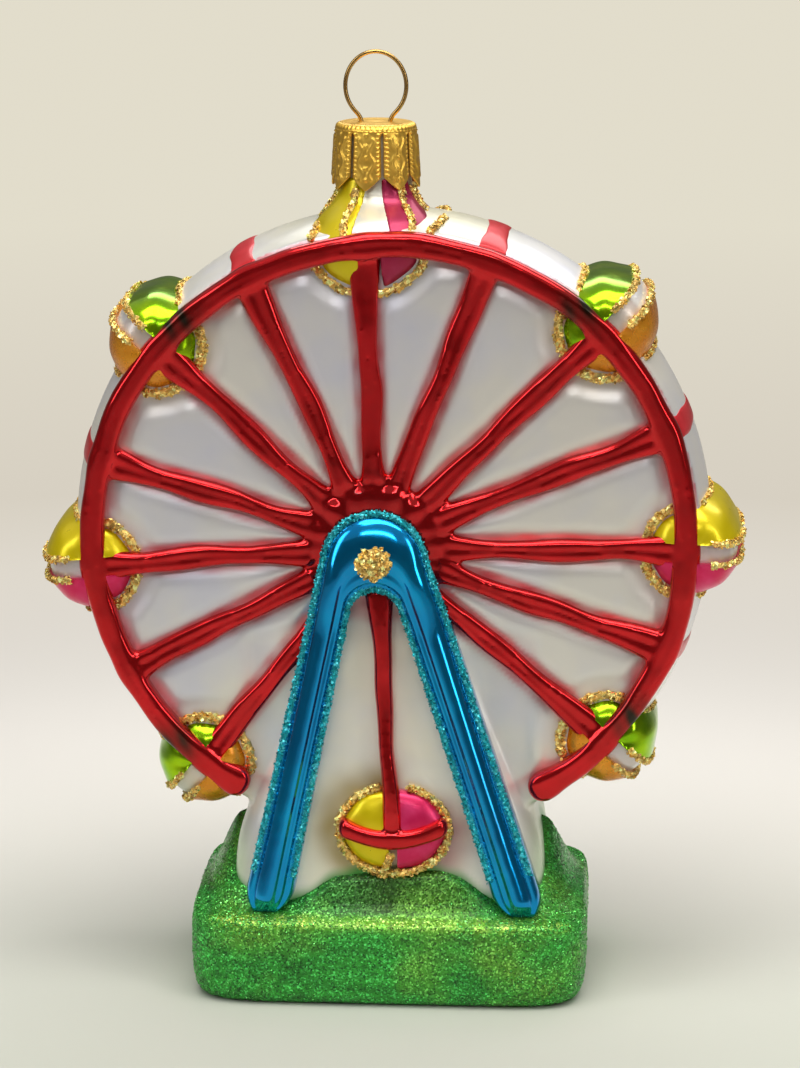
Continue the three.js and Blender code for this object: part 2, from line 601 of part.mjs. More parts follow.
// A strip down the middle, from the hub to the bar or past it.
function bottomStrip(half, foot, back, front) {
  const top = upSlope(HUB_Z - HUB_RADIUS);
  const outline = [
    [BOTTOM_GONDOLA_X - half, foot],
    [BOTTOM_GONDOLA_X + half, foot],
    [BOTTOM_GONDOLA_X + half, bottomCentre[1]],
    [BOTTOM_SPOKE_TOP_X + half, top],
    [BOTTOM_SPOKE_TOP_X - half, top],
    [BOTTOM_GONDOLA_X - half, bottomCentre[1]],
  ];
  return leaned(slab(outline, back, front));
}
const bottomSplit = bottomStrip(
  SPOKE_WIDTH / 2 + SEAT_GAP,
  bottomCentre[1] - 2 * BOTTOM_GONDOLA_RADIUS,
  LEG_ROOT + CUT_OVERRUN,
  -BOTTOM_SPOKE_PROUD - CUT_OVERRUN,
);
const bottomHalves = bottomDome
  .subtract(pedestalSeat)
  .subtract(bottomBar(SEAT_GAP, -WEB))
  .subtract(bottomSplit)
  .decompose()
  .sort((a, b) => b.volume() - a.volume())
  .slice(0, 2)
  .sort((a, b) => a.boundingBox().min[0] - b.boundingBox().min[0]);
const glitterInner = BOTTOM_GONDOLA_RADIUS + GLITTER_GAP;
const bottomGlitter = bottomDisc(glitterInner + GLITTER_WIDTH, LEG_ROOT, -GLITTER_PROUD)
  .subtract(bottomDisc(glitterInner, LEG_ROOT + CUT_OVERRUN, -GLITTER_PROUD - CUT_OVERRUN))
  .subtract(pedestalSeat);
const bottomSpokeAndBar = bottomBar(0, -WEB - SEAT_GAP)
  .add(bottomStrip(SPOKE_WIDTH / 2, bottomCentre[1] - BAR_BREADTH / 2, LEG_ROOT, -BOTTOM_SPOKE_PROUD))
  .subtract(seatForm)
  .subtract(bottomDisc(glitterInner + GLITTER_WIDTH + SEAT_GAP, LEG_ROOT, -GLITTER_PROUD - SEAT_GAP))
  .subtract(legClearance)
  .subtract(hubForm(SEAT_GAP));

// Glitter edging on the A-frame's shoulders, and the glitter dot on its apex
const edgeBack = -LEG_FLANGE;
const edgeFront = -LEG_FLANGE - LEG_GLITTER_PROUD;
const [flangeLine, ridgeLine] = [legOutline(0), legOutline(RUN_GAP - LEG_SHOULDER)];
const [outerEdging, innerEdging] = ["outer", "inner"].map((side) => {
  const outline = [...flangeLine[side], ...ridgeLine[side].slice().reverse()];
  return leaned(slab(outline, edgeBack, edgeFront)).subtract(baseSeat).subtract(spokeWeb);
});
const dotSkin = HUB_DOT_SHARES.map(([out, up]) => [HUB_DOT_RADIUS * out, legFront - HUB_DOT_PROUD * up]);
const hubDot = leaned(
  turned([[0, legFront], ...dotSkin], DOT_SIDES).translate(HUB_X, 0, upSlope(LEG_APEX_Z)),
);

const relief = [
  ["rim", rimArc, "red"],
  ["hub_and_spokes", hubAndSpokes, "red"],
  ["bottom_spoke_and_bar", bottomSpokeAndBar, "red"],
  ["legs", legs, "blue"],
  ["legs_glitter_outer", outerEdging, "teal_glitter"],
  ["legs_glitter_inner", innerEdging, "teal_glitter"],
  ["hub_glitter_dot", hubDot, "gold_glitter"],
  ["gondola_bottom_yellow", bottomHalves[0], "yellow"],
  ["gondola_bottom_pink", bottomHalves[1], "pink"],
  ["gondola_bottom_glitter", bottomGlitter, "gold_glitter"],
  ...gondolas.map((gondola) => [
    "gondola_" + gondola.place + "_glitter",
    gondolaGlitter(gondola, 0).subtract(pedestalSeat),
    "gold_glitter",
  ]),
];
for (const [name, body, lacquer] of relief) {
  addNode(name + "_front", body, lacquer);
  addNode(name + "_back", mirrored(body), lacquer);
}

// Coloured halves of each gondola, either side of its spoke and white stripe
const rimCut = rimRing(SEAT_GAP, WEB + SEAT_GAP);
const bothRims = rimCut.add(mirrored(rimCut));
const splitHalf = SPOKE_WIDTH / 2 + SEAT_GAP;
// The top gondola's shoulders run up to the neck under the cap, inside this round dome.
const domeTop = CAP_FOOT_Z - SEAT_GAP;
const domeReach = gondolaHalfDepth + SEAT_GAP;
const domeFoot = WHEEL_CENTRE_Z + rimInner - TOP_GONDOLA_RADIUS;
const domeProfile = TOP_DOME_SHARES.map(([out, down]) => [
  NECK_RADIUS + out * domeReach,
  domeTop - down * (domeTop - TREAD_TOP_Z + FLARE_HALF_HEIGHT),
]);
const topDome = solid(
  turnedUpright([[0, domeFoot], [domeProfile[0][0], domeFoot], ...domeProfile, [0, domeTop]], NECK_SIDES)
    .translate(NECK_X, 0, 0),
);
for (const gondola of gondolas) {
  const whole = gondolaBarrel(gondola, 0).subtract(seatForm).subtract(bothRims);
  const sides = [
    radialStrip(gondola.angle, 0, wheelReach, splitHalf, wheelReach),
    radialStrip(gondola.angle, 0, wheelReach, -wheelReach, -splitHalf),
  ];
  gondola.colours.forEach((colour, i) => {
    const half = whole.intersect(sides[i]);
    const name = "gondola_" + gondola.place + "_" + colour;
    if (gondola.place === "top") {
      const front = half.intersect(topDome).intersect(depthRange(-TOP_GONDOLA_INNER_Y, -wheelReach, domeTop));
      addNode(name + "_front", front, colour);
      addNode(name + "_back", mirrored(front), colour);
    } else {
      addNode(name, half, colour);
    }
  });
}

// Red bands across the tread
const bandSkin = drum(-SEAT_GAP - BAND_THICKNESS)
  .subtract(drum(-SEAT_GAP))
  .intersect(middleRange(WHEEL_HALF_DEPTH - SEAT_GAP));
BAND_ANGLES.forEach((angle, i) => {
  const strip = radialStrip(angle, rimInner, wheelReach, -BAND_WIDTH / 2, BAND_WIDTH / 2);
  addNode("tread_band_" + (i + 1), bandSkin.intersect(strip), "red");
});

// Gold cap: a shallow cup whose skirt is slit into pointed fingers, with two slots for the wire
function capForm(inset, footDrop) {
  const top = CAP_TOP_Z - inset;
  const foot = CAP_FOOT_Z - footDrop;
  const [topRadius, rimRadius] = [CAP_TOP_RADIUS - inset, CAP_RIM_RADIUS - inset];
  const profile = [
    [0, foot],
    [rimRadius, foot],
    [topRadius, top - CAP_EDGE_ROUND],
    [topRadius - CAP_EDGE_ROUND, top],
    [0, top],
  ];
  return solid(turnedUpright(profile, NECK_SIDES).translate(NECK_X, 0, 0));
}
const fingerPitch = (2 * Math.PI) / CAP_FINGERS; // radians
const notchHalf = CAP_RIM_RADIUS * Math.tan(fingerPitch / 2);
function fingerNotch(index) {
  const outline = [
    [-notchHalf, CAP_FOOT_Z - CUT_OVERRUN],
    [notchHalf, CAP_FOOT_Z - CUT_OVERRUN],
    [notchHalf, CAP_FOOT_Z],
    [CAP_SLIT / 2, CAP_FOOT_Z + CAP_TIP_HEIGHT],
    [CAP_SLIT / 2, CAP_TOP_Z - CAP_SLIT_BELOW_TOP],
    [-CAP_SLIT / 2, CAP_TOP_Z - CAP_SLIT_BELOW_TOP],
    [-CAP_SLIT / 2, CAP_FOOT_Z + CAP_TIP_HEIGHT],
    [-notchHalf, CAP_FOOT_Z],
  ];
  const notch = slab(outline, -NECK_RADIUS / 2, -CAP_RIM_RADIUS - CUT_OVERRUN);
  return solid(notch.rotateZ(radians(CAP_TURN) + index * fingerPitch).translate(NECK_X, 0, 0));
}
const slotInner = PRONG_X - WIRE_RADIUS - RUN_GAP;
const slotOuter = RING_HALF_WIDTH * Math.cos(radians(RING_END)) + WIRE_RADIUS + RUN_GAP;
function wireSlot(side) {
  const half = WIRE_RADIUS + RUN_GAP;
  const [low, high] = [CAP_TOP_Z - CAP_SHEET - RUN_GAP, CAP_TOP_Z + RUN_GAP];
  const ends = [side * slotInner, side * slotOuter];
  const outline = [[ends[0], low], [ends[1], low], [ends[1], high], [ends[0], high]];
  return solid(slab(outline, half, -half).translate(NECK_X, 0, 0));
}
const notches = Array.from({ length: CAP_FINGERS }, (_, i) => fingerNotch(i));
const capCuts = joined([capForm(CAP_SHEET, CUT_OVERRUN), ...notches, wireSlot(-1), wireSlot(1)]);
addNode("cap", capForm(0, 0).subtract(capCuts), "cap_gold");

// Hanger: up the right prong, round the ring and down the left prong
const prong = [
  [PRONG_END_X, PRONG_END_DEPTH],
  [PRONG_BOW_X, PRONG_BOW_DEPTH],
  [(PRONG_X + PRONG_BOW_X) / 2, (PRONG_STRAIGHT_DEPTH + PRONG_BOW_DEPTH) / 2],
  [PRONG_X, PRONG_STRAIGHT_DEPTH],
  [PRONG_X, PRONG_TOP_DEPTH],
].map(([x, depth]) => [x, CAP_TOP_Z - depth]);
const ringCentreZ = CAP_TOP_Z + RING_LIFT + RING_HALF_HEIGHT;
const ringStart = -radians(RING_END);
const ring = arc([0, 0], 1, ringStart, Math.PI - ringStart, RING_STEPS)
  .map(([x, z]) => [x * RING_HALF_WIDTH, ringCentreZ + z * RING_HALF_HEIGHT]);
const leftProng = prong.map(([x, z]) => [-x, z]).reverse();
const wireLine = new THREE.CatmullRomCurve3(
  [...prong, ...ring, ...leftProng].map(([x, z]) => new THREE.Vector3(NECK_X + x, 0, z)),
);
const wireSection = new THREE.Shape(
  superellipse(WIRE_RADIUS, WIRE_RADIUS, 2, WIRE_SIDES).map(([x, y]) => new THREE.Vector2(x, y)),
);
const wire = new THREE.ExtrudeGeometry(wireSection, { steps: 2 * RING_STEPS, extrudePath: wireLine });
addNode("hanger", solid(wire), "wire_brass");

export default ornament;
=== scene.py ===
"""The looks of a blown-glass Ferris wheel ornament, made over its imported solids.

Every length is worked out in millimetres, in the frame of the solids, and goes into the
meshes in metres. The axle runs along Y, the front looks towards -Y and Z is up.
"""
import math
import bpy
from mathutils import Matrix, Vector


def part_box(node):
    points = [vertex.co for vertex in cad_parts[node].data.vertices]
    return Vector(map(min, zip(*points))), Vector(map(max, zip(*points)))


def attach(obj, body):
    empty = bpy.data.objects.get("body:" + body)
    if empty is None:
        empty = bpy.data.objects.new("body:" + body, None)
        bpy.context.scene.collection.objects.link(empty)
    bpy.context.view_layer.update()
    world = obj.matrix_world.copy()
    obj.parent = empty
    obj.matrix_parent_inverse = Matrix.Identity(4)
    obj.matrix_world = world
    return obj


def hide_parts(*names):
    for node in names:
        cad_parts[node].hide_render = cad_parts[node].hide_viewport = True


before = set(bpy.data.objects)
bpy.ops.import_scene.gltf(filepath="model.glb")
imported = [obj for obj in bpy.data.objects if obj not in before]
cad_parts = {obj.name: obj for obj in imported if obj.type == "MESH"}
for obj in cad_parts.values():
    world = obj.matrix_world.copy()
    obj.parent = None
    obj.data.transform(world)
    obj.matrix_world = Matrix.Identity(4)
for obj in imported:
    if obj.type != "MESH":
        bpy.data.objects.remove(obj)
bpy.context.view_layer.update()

from types import SimpleNamespace

import bmesh
import bpy
import numpy as np
from bpy.props import FloatProperty, FloatVectorProperty, IntProperty, PointerProperty
from mathutils import Vector

bl_info = {
    "name": "Glass Ferris Wheel Ornament",
    "version": (1, 0, 0),
    "blender": (4, 5, 0),
    "location": "View3D > Sidebar > Glass Wheel",
    "description": "Makes the glass, glitter, cap and hanger of a blown-glass Ferris wheel ornament",
    "category": "Add Mesh",
}

MM = 0.001


def solid_box(node):
    """The lowest and the highest corner of a solid, in millimetres."""
    low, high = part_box(node)
    return np.array(low) / MM, np.array(high) / MM


RIM_LOW, RIM_HIGH = solid_box("rim_front")
CAP_LOW, CAP_HIGH = solid_box("cap")
HANGER_LOW, HANGER_HIGH = solid_box("hanger")
BASE_HIGH = solid_box("base_glass")[1]

TOP_ANGLE = 94.6  # of the spoke that points at the neck
SPOKE_ANGLES = [TOP_ANGLE, 70.8, 44.9, 22.2, -1.5, -21.3, -43, -128.6, -152, -174, 164.7, 140.3, 117.8]
BAND_ANGLES = [70.8, 22.2, -21.3, -152, 164.7, 117.8]
# place, rim angle, first colour anticlockwise of the spoke, second colour
GONDOLAS = [
    ("upper_right", 44.9, "green", "orange"),
    ("right", -1.5, "yellow", "pink"),
    ("lower_right", -43, "green", "orange"),
    ("lower_left", -128.6, "orange", "green"),
    ("left", -174, "pink", "yellow"),
    ("upper_left", 140.3, "orange", "green"),
]
# lengths in millimetres
SEAT_GAP = 0.3  # between the glass and a solid that lies on it, as in the solids
CAD_WIRE = 0.32  # the hanger's wire in the solids
RING_SEAT = 0.15  # from the cap's top up to the ring
FLARE_SINK = 5  # from the tread's top down to the flare's foot
FLARE_HEIGHT = 10  # of the flare, from its foot up to the straight tube
BORE_DEPTH = 10  # of the neck's bore
BORE_WALL = 1  # of the glass round it
LIP = 0.3  # how far the neck's lip is rounded in
FLAKE_SHEET = 0.05  # thickness of a flake
GLITTER_RING = 0.85  # from a gondola's edge out to its glitter line
DOT_RADIUS = 2.45  # of the glitter dot on the hub
# other counts, powers and angles
RIM_START, RIM_TURN = -61.5, 303  # where the rim's arc begins and how far it goes round, in degrees
LEG_POINTS, ARC_POINTS = 90, 60  # along each straight edge of the A-frame and round its arch
FOOT_CROWDING = 1.7  # power by which the points of a leg close up towards its foot
TEAL_TRIM = 26  # points of an edge without glitter at each foot
PEDESTAL_SQUARENESS = 7  # power of its superellipse
# share of the base's shoulder height, of its half width and of its half depth
BASE_SECTIONS = [
    (0, 0.91, 0.88), (0.02, 0.945, 0.92), (0.06, 0.97, 0.955), (0.14, 0.988, 0.98), (0.3, 0.997, 0.995),
    (0.5, 1, 1), (0.7, 1, 1), (0.82, 0.998, 0.996), (0.89, 0.994, 0.99), (0.925, 0.99, 0.984),
    (0.95, 0.982, 0.974), (0.967, 0.968, 0.956), (0.978, 0.946, 0.928), (0.987, 0.915, 0.89),
    (1.005, 0.875, 0.84), (1.04, 0.83, 0.79), (1.09, 0.78, 0.745), (1.13, 0.74, 0.7),
]
# share of the pedestal's height and of its half width
PEDESTAL_SECTIONS = [
    (0, 0.97), (0.05, 0.99), (0.1, 1), (0.16, 0.99), (0.22, 0.97), (0.29, 0.92), (0.36, 0.86),
    (0.45, 0.787), (0.54, 0.72), (0.64, 0.655), (0.75, 0.6), (0.87, 0.55), (1, 0.5),
]


def length(text, about, default):
    """A length property: its default is given in millimetres and it is kept in metres."""
    return FloatProperty(name=text, description=about, default=default * MM, precision=5, unit="LENGTH")


def colour(text, about, default):
    """A colour property of red, green and blue."""
    return FloatVectorProperty(name=text, description=about, default=default, size=3, min=0, max=1,
                               subtype="COLOR")


def number(text, about, default):
    """A plain number property."""
    return FloatProperty(name=text, description=about, default=default)


class GlassSizes(bpy.types.PropertyGroup):
    """Sizes of the pearl glass: the wheel's drum, the pedestal and the neck."""

    face_radius: length("Face radius", "Radius of the wheel's flat faces", (RIM_HIGH[0] - RIM_LOW[0]) / 2)
    half_depth: length("Half depth", "From the middle plane to a face", -RIM_HIGH[1] - SEAT_GAP)
    wheel_z: length("Wheel centre height", "Above the underside",
                    RIM_HIGH[2] - (RIM_HIGH[0] - RIM_LOW[0]) / 2)
    tread_bulge: length("Tread bulge", "How far the tread swells between the faces", 1.8)
    pillow: length("Panel pillow", "How far a panel swells between two spokes", 0.85)
    pedestal_width: length("Pedestal half width", "At its widest", 22.6)
    pedestal_depth: length("Pedestal half depth", "At its foot", 15)
    pedestal_z: length("Pedestal foot", "Height of its foot", 12)
    pedestal_height: length("Pedestal height", "From its foot up to its end in the wheel", 48)
    neck_radius: length("Neck radius", "Of the tube under the cap", 5)
    flare_radius: length("Flare radius", "Where the neck meets the wheel", 11.5)
    melt: length("Melt", "Grain of the skin when forms are melted into one", 0.55)


class ReliefSizes(bpy.types.PropertyGroup):
    """Sizes of the red rim, hub and spokes."""

    rim_width: length("Rim width", "Across the rim's ridge", 3.5)
    rim_proud: length("Rim height", "Above the face", 2.6)
    spoke_width: length("Spoke width", "Across a spoke", 3.55)
    spoke_proud: length("Spoke height", "Above the face", 2.05)
    hub_x: length("Hub place", "Sideways from the wheel's centre", -1.9)
    hub_drop: length("Hub drop", "Below the wheel's centre", 1)
    hub_radius: length("Hub radius", "Of the hub's dome", 10.4)
    hub_proud: length("Hub height", "Above the face", 1.9)
    melt: length("Melt", "Grain of the skin when ridges are melted into one", 0.315)


class GondolaSizes(bpy.types.PropertyGroup):
    """Sizes of the gondolas round the rim and of the one between the legs."""

    radius: length("Radius", "Of a gondola's barrel", 7.3)
    inset: length("Inset", "Of its centre from the wheel's edge", 1)
    proud: length("Height", "Of its ends above the faces", 2.2)
    stripe: length("Stripe half width", "Of the white stripe between the colours", 1.5)
    top_radius: length("Top radius", "Of the gondola under the neck", 9.9)
    top_x: length("Top place", "Sideways from the wheel's centre", -2.9)
    bottom_radius: length("Bottom radius", "Of the gondola between the legs", 7.4)
    bottom_x: length("Bottom place", "Sideways from the wheel's centre", 0.9)
    bottom_z: length("Bottom height", "Of its centre above the underside", 24.3)
    bottom_proud: length("Bottom rise", "Of its dome above the pedestal", 2.4)
    squareness: number("Squareness", "Power of the superellipse that the barrels follow", 3.5)


class LegSizes(bpy.types.PropertyGroup):
    """Sizes of the blue A-frame."""

    apex_radius: length("Apex radius", "Of the outer edge over the hub", 7.4)
    arch_radius: length("Arch radius", "Of the inner edge below the hub", 3.7)
    arch_drop: length("Arch drop", "Of the inner arch below the apex", 8.2)
    width: length("Width", "Of a leg, measured level at its foot", 7.2)
    left_x: length("Left foot", "Sideways place of the left foot", -17.5)
    right_x: length("Right foot", "Sideways place of the right foot", 19.6)
    flange: length("Flange height", "Of the edge that carries the glitter", 2.3)
    ridge: length("Ridge height", "Of the ridge above the flange", 1.45)
    lift: length("Hub lift", "How far the A-frame rides up over the hub", 1.3)
    foot_z: length("Foot height", "Of the lowest point", 12.6)


class BaseSizes(bpy.types.PropertyGroup):
    """Sizes of the green base."""

    half_width: length("Half width", "At its widest", BASE_HIGH[0])
    half_depth: length("Half depth", "At its deepest", BASE_HIGH[1])
    shoulder: length("Shoulder height", "Of the block's top edge", 13)
    squareness: number("Squareness", "Power of the superellipse outline", 7)


class CapSizes(bpy.types.PropertyGroup):
    """Sizes of the crown cap and its wire hanger."""

    centre_x: length("Centre", "Sideways place of the cap's axis", (CAP_LOW[0] + CAP_HIGH[0]) / 2)
    top_z: length("Top", "Height of the cap's top", CAP_HIGH[2])
    foot_z: length("Foot", "Height of the finger tips", CAP_LOW[2])
    top_radius: length("Top radius", "Below the rounded edge", 5.65)
    rim_radius: length("Rim radius", "At the finger tips", 6.2)
    sheet: length("Sheet", "Thickness of the pressed brass", 0.3)
    slit: length("Slit", "Width of the slits between fingers", 0.35)
    tip: length("Tip height", "Of a finger's pointed end", 1.9)
    turn: FloatProperty(name="Turn", description="From the front round to the first slit",
                        default=math.radians(13), unit="ROTATION")
    wire: length("Wire radius", "Of the hanger's wire", 0.3)
    ring_width: length("Ring half width", "To the middle of the wire",
                       (HANGER_HIGH[0] - HANGER_LOW[0]) / 2 - CAD_WIRE)
    ring_height: length("Ring half height", "To the middle of the wire",
                        (HANGER_HIGH[2] - CAD_WIRE - CAP_HIGH[2] - RING_SEAT) / 2)


class GlitterSizes(bpy.types.PropertyGroup):
    """Sizes of the glitter flakes and how thickly they lie."""

    gold: length("Gold flake", "Radius of a gold flake", 0.27)
    teal: length("Teal flake", "Radius of a teal flake", 0.17)
    green: length("Green flake", "Radius of a flake on the base", 0.13)
    gold_share: number("Gold cover", "Flakes for each square millimetre of a gold line", 7)
    teal_share: number("Teal cover", "Flakes for each square millimetre of edging", 14)
    green_count: IntProperty(name="Green flakes", description="Loose flakes on the base", default=9000)
    seed: IntProperty(name="Seed", description="Start of the random numbers", default=7)


class LacquerColours(bpy.types.PropertyGroup):
    """Colours of the lacquers, the glitters and the metals."""

    pearl: colour("Pearl", "Satin paint over the silvered glass", (0.8, 0.77, 0.71))
    red: colour("Red", "Rim, hub, spokes and tread bands", (0.56, 0.006, 0.008))
    blue: colour("Blue", "The A-frame", (0.0, 0.26, 0.62))
    yellow: colour("Yellow", "Gondola halves", (0.78, 0.62, 0.002))
    pink: colour("Pink", "Gondola halves", (0.7, 0.012, 0.1))
    green: colour("Green", "Gondola halves", (0.24, 0.52, 0.002))
    orange: colour("Orange", "Gondola halves", (0.74, 0.25, 0.006))
    base_green: colour("Base green", "Glittered base", (0.03, 0.3, 0.03))
    gold: colour("Gold glitter", "Lines round the gondolas", (0.95, 0.64, 0.18))
    teal: colour("Teal glitter", "Edging of the A-frame", (0.02, 0.46, 0.53))
    cap: colour("Cap gold", "Pressed brass", (0.92, 0.57, 0.09))
    wire: colour("Wire brass", "Hanger", (0.58, 0.35, 0.11))


class StudioLook(bpy.types.PropertyGroup):
    """Colours and strengths of the stage."""

    backdrop: colour("Backdrop", "Paper behind the ornament", (0.76, 0.72, 0.6))
    floor: colour("Floor", "Paper behind the ornament's foot", (0.73, 0.705, 0.66))
    # Painted shade: the near paper is darker than the paper behind the foot.
    near: colour("Near floor", "Paper in front of the ornament", (0.53, 0.545, 0.475))
    far: colour("Far paper", "Paper further off, as it lights the ornament", (0.3, 0.28, 0.26))
    room: number("Room light", "Strength of the light from all sides", 0.5)
    lamp: number("Lamps", "Strength of the lamps against the plain level", 0.95)


GROUPS = {
    "ornament_glass": GlassSizes,
    "ornament_relief": ReliefSizes,
    "ornament_gondolas": GondolaSizes,
    "ornament_legs": LegSizes,
    "ornament_base": BaseSizes,
    "ornament_cap": CapSizes,
    "ornament_glitter": GlitterSizes,
    "ornament_colours": LacquerColours,
    "ornament_studio": StudioLook,
}


def sizes(context, group):
    """A property group's values as plain numbers, with its lengths in millimetres."""
    held = getattr(context.scene, "ornament_" + group)
    values = {}
    for key, prop in held.bl_rna.properties.items():
        if key in ("rna_type", "name"):
            continue
        value = getattr(held, key)
        values[key] = value / MM if getattr(prop, "unit", "") == "LENGTH" else value
    return SimpleNamespace(**values)


# ---------------------------------------------------------------- forms on a grid

def smooth(value):
    """A soft step: 0 below 0, 1 above 1, and 3v^2 - 2v^3 between."""
    v = np.clip(value, 0, 1)
    return v * v * (3 - 2 * v)


def bump(value, width):
    """A bell: e to the minus (value / width) squared."""
    return np.exp(-((value / width) ** 2))


def bent(value, power):
    """A sine or cosine bent towards a square: its sign times its size to the power 2 / power."""
    return np.sign(value) * np.abs(value) ** (2 / power)


def wander(along, seed, reach):
    """A slow wobble: four sines of 1 to 4 waves, each weaker than the last, with seeded phases."""
    phases = np.random.default_rng(seed).uniform(0, 2 * np.pi, 4)
    waves = [np.sin(2 * np.pi * (k + 1) * along + phases[k]) / (k + 1) for k in range(4)]
    return reach * sum(waves) / 2


def full_turn(steps):
    """Even turns round a full circle, without the last, which is the first again."""
    return np.linspace(0, 2 * np.pi, steps, endpoint=False)


def spots(x, y, z):
    """Points from their places across, deep and high, spread to one shape."""
    return np.stack(np.broadcast_arrays(x, y, z), -1)


def skin(points, wrap_columns=False):
    """Quads over a grid of points: a row for each first index, a column for each second."""
    rows, columns = points.shape[:2]
    index = np.arange(rows * columns).reshape(rows, columns)
    if wrap_columns:
        index = np.hstack([index, index[:, :1]])
    corners = [index[:-1, :-1], index[1:, :-1], index[1:, 1:], index[:-1, 1:]]
    return points.reshape(-1, 3), [np.stack(corners, -1).reshape(-1, 4)]


def gathered(skins):
    """Several skins as one list of points and one list of face tables."""
    points, faces, start = [], [], 0
    for own, tables in skins:
        points.append(own)
        faces.extend(table + start for table in tables)
        start += len(own)
    return np.concatenate(points), faces


def mirrored(made):
    """A skin seen in the plane y = 0, with its faces turned to look outwards again."""
    points, faces = made
    return points * [1, -1, 1], [table[:, ::-1] for table in faces]


def mesh_of(name, made):
    """A mesh in metres from points in millimetres and tables of faces."""
    points, tables = made
    corners = np.concatenate([table.ravel() for table in tables])
    counts = np.concatenate([np.full(len(table), table.shape[1]) for table in tables])
    starts = np.concatenate([[0], np.cumsum(counts)[:-1]])
    mesh = bpy.data.meshes.new(name)
    mesh.vertices.add(len(points))
    mesh.loops.add(len(corners))
    mesh.polygons.add(len(counts))
    mesh.vertices.foreach_set("co", (points * MM).astype(np.float32).ravel())
    mesh.loops.foreach_set("vertex_index", corners.astype(np.int32))
    mesh.polygons.foreach_set("loop_start", starts.astype(np.int32))
    mesh.update(calc_edges=True)
    mesh.validate()
    return mesh


def outwards(mesh):
    """Merges the doubles of a mesh and turns every closed shell's faces outwards."""
    work = bmesh.new()
    work.from_mesh(mesh)
    bmesh.ops.remove_doubles(work, verts=work.verts, dist=2e-6)
    bmesh.ops.dissolve_degenerate(work, edges=work.edges, dist=1e-7)
    bmesh.ops.recalc_face_normals(work, faces=work.faces)
    work.to_mesh(mesh)
    work.free()


def upwards(mesh, reach, pick):
    """Merges the doubles of an open sheet and turns it so that its picked face looks up."""
    work = bmesh.new()
    work.from_mesh(mesh)
    bmesh.ops.remove_doubles(work, verts=work.verts, dist=reach)
    bmesh.ops.recalc_face_normals(work, faces=work.faces)
    if pick(work.faces).normal.z < 0:
        bmesh.ops.reverse_faces(work, faces=work.faces)
    work.to_mesh(mesh)
    work.free()


def finished(piece):
    """Takes a piece's modifiers into its mesh."""
    held = bpy.context.evaluated_depsgraph_get()
    mesh = bpy.data.meshes.new_from_object(piece.evaluated_get(held))
    old = piece.data
    piece.modifiers.clear()
    piece.data = mesh
    bpy.data.meshes.remove(old)


def melted(piece, grain, rounds):
    """Melts a piece's overlapping forms into one skin of even grain, then evens it out."""
    melt = piece.modifiers.new("melt", "REMESH")
    melt.mode, melt.voxel_size, melt.use_smooth_shade = "VOXEL", grain * MM, True
    finished(piece)
    even = piece.modifiers.new("even", "SMOOTH")
    even.factor, even.iterations = 0.5, rounds
    finished(piece)


def place(name, mesh, body, material, stands_for=(), smooth_shading=True):
    """Puts a mesh into the scene as a piece that rides on a body and stands for solids."""
    piece = bpy.data.objects.new(name, mesh)
    bpy.context.scene.collection.objects.link(piece)
    mesh.materials.clear()
    mesh.materials.append(material)
    mesh.polygons.foreach_set("use_smooth", np.full(len(mesh.polygons), smooth_shading))
    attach(piece, body)
    if stands_for:
        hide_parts(*stands_for)
    return piece


def place_both(name, made, material, stands_for, glitter=False):
    """Places a skin as the front's piece and its mirror image as the back's. The names take the
    end in their braces, and glitter keeps its faces as made, with flat shading."""
    pieces = []
    for end, own in (("front", made), ("back", mirrored(made))):
        mesh = mesh_of(name.format(end), own)
        if not glitter:
            outwards(mesh)
        pieces.append(place(name.format(end), mesh, "glass", material, [stands_for.format(end)],
                            smooth_shading=not glitter))
    return pieces


def points_of(mesh):
    """A mesh's points in millimetres."""
    flat = np.empty(len(mesh.vertices) * 3, np.float32)
    mesh.vertices.foreach_get("co", flat)
    return flat.reshape(-1, 3) / MM


def move_points(mesh, points):
    """Sets a mesh's points, given in millimetres."""
    mesh.vertices.foreach_set("co", (points * MM).astype(np.float32).ravel())
    mesh.update()


def paint(mesh, name, colours):
    """Keeps a colour for each point as an attribute of the mesh."""
    layer = mesh.attributes.new(name, "FLOAT_COLOR", "POINT")
    table = np.ones((len(mesh.vertices), 4), np.float32)
    table[:, :3] = colours
    layer.data.foreach_set("color", table.ravel())


def tube(path, across, up, half_width, half_height, power, sides, groove=0.0):
    """A closed superellipse section carried along a path: each point of the section is the
    path's point plus half_width times bent cosine across plus half_height times bent sine up,
    with a shallow groove along its top. Its ends close to a point only where the given half sizes fall to
    zero."""
    turn = full_turn(sides)
    wide = bent(np.cos(turn), power)
    high = bent(np.sin(turn), power)
    high = high - groove * np.clip(high, 0, 1) * bump(wide, 0.3)
    half_width = np.broadcast_to(half_width, len(path))[:, None, None]
    half_height = np.broadcast_to(half_height, len(path))[:, None, None]
    points = (
        path[:, None, :]
        + half_width * wide[None, :, None] * across[:, None, :]
        + half_height * high[None, :, None] * up[:, None, :]
    )
    return skin(points, wrap_columns=True)


def end_round(along, total, reach):
    """How far open a section is near the ends of a path: a quarter circle over the reach."""
    near = np.clip(np.minimum(along, total - along) / reach, 0, 1)
    return np.sqrt(np.clip(1 - (1 - near) ** 2, 0, 1))


# ---------------------------------------------------------------- the ornament's lines

def on_wheel(glass, radius, degrees):
    """The place across and up of a point at a radius and an angle round the wheel."""
    turn = np.radians(degrees)
    return radius * np.cos(turn), glass.wheel_z + radius * np.sin(turn)


def hub_place(glass, relief):
    """Across and up of the hub's centre."""
    return np.array([relief.hub_x, glass.wheel_z - relief.hub_drop])


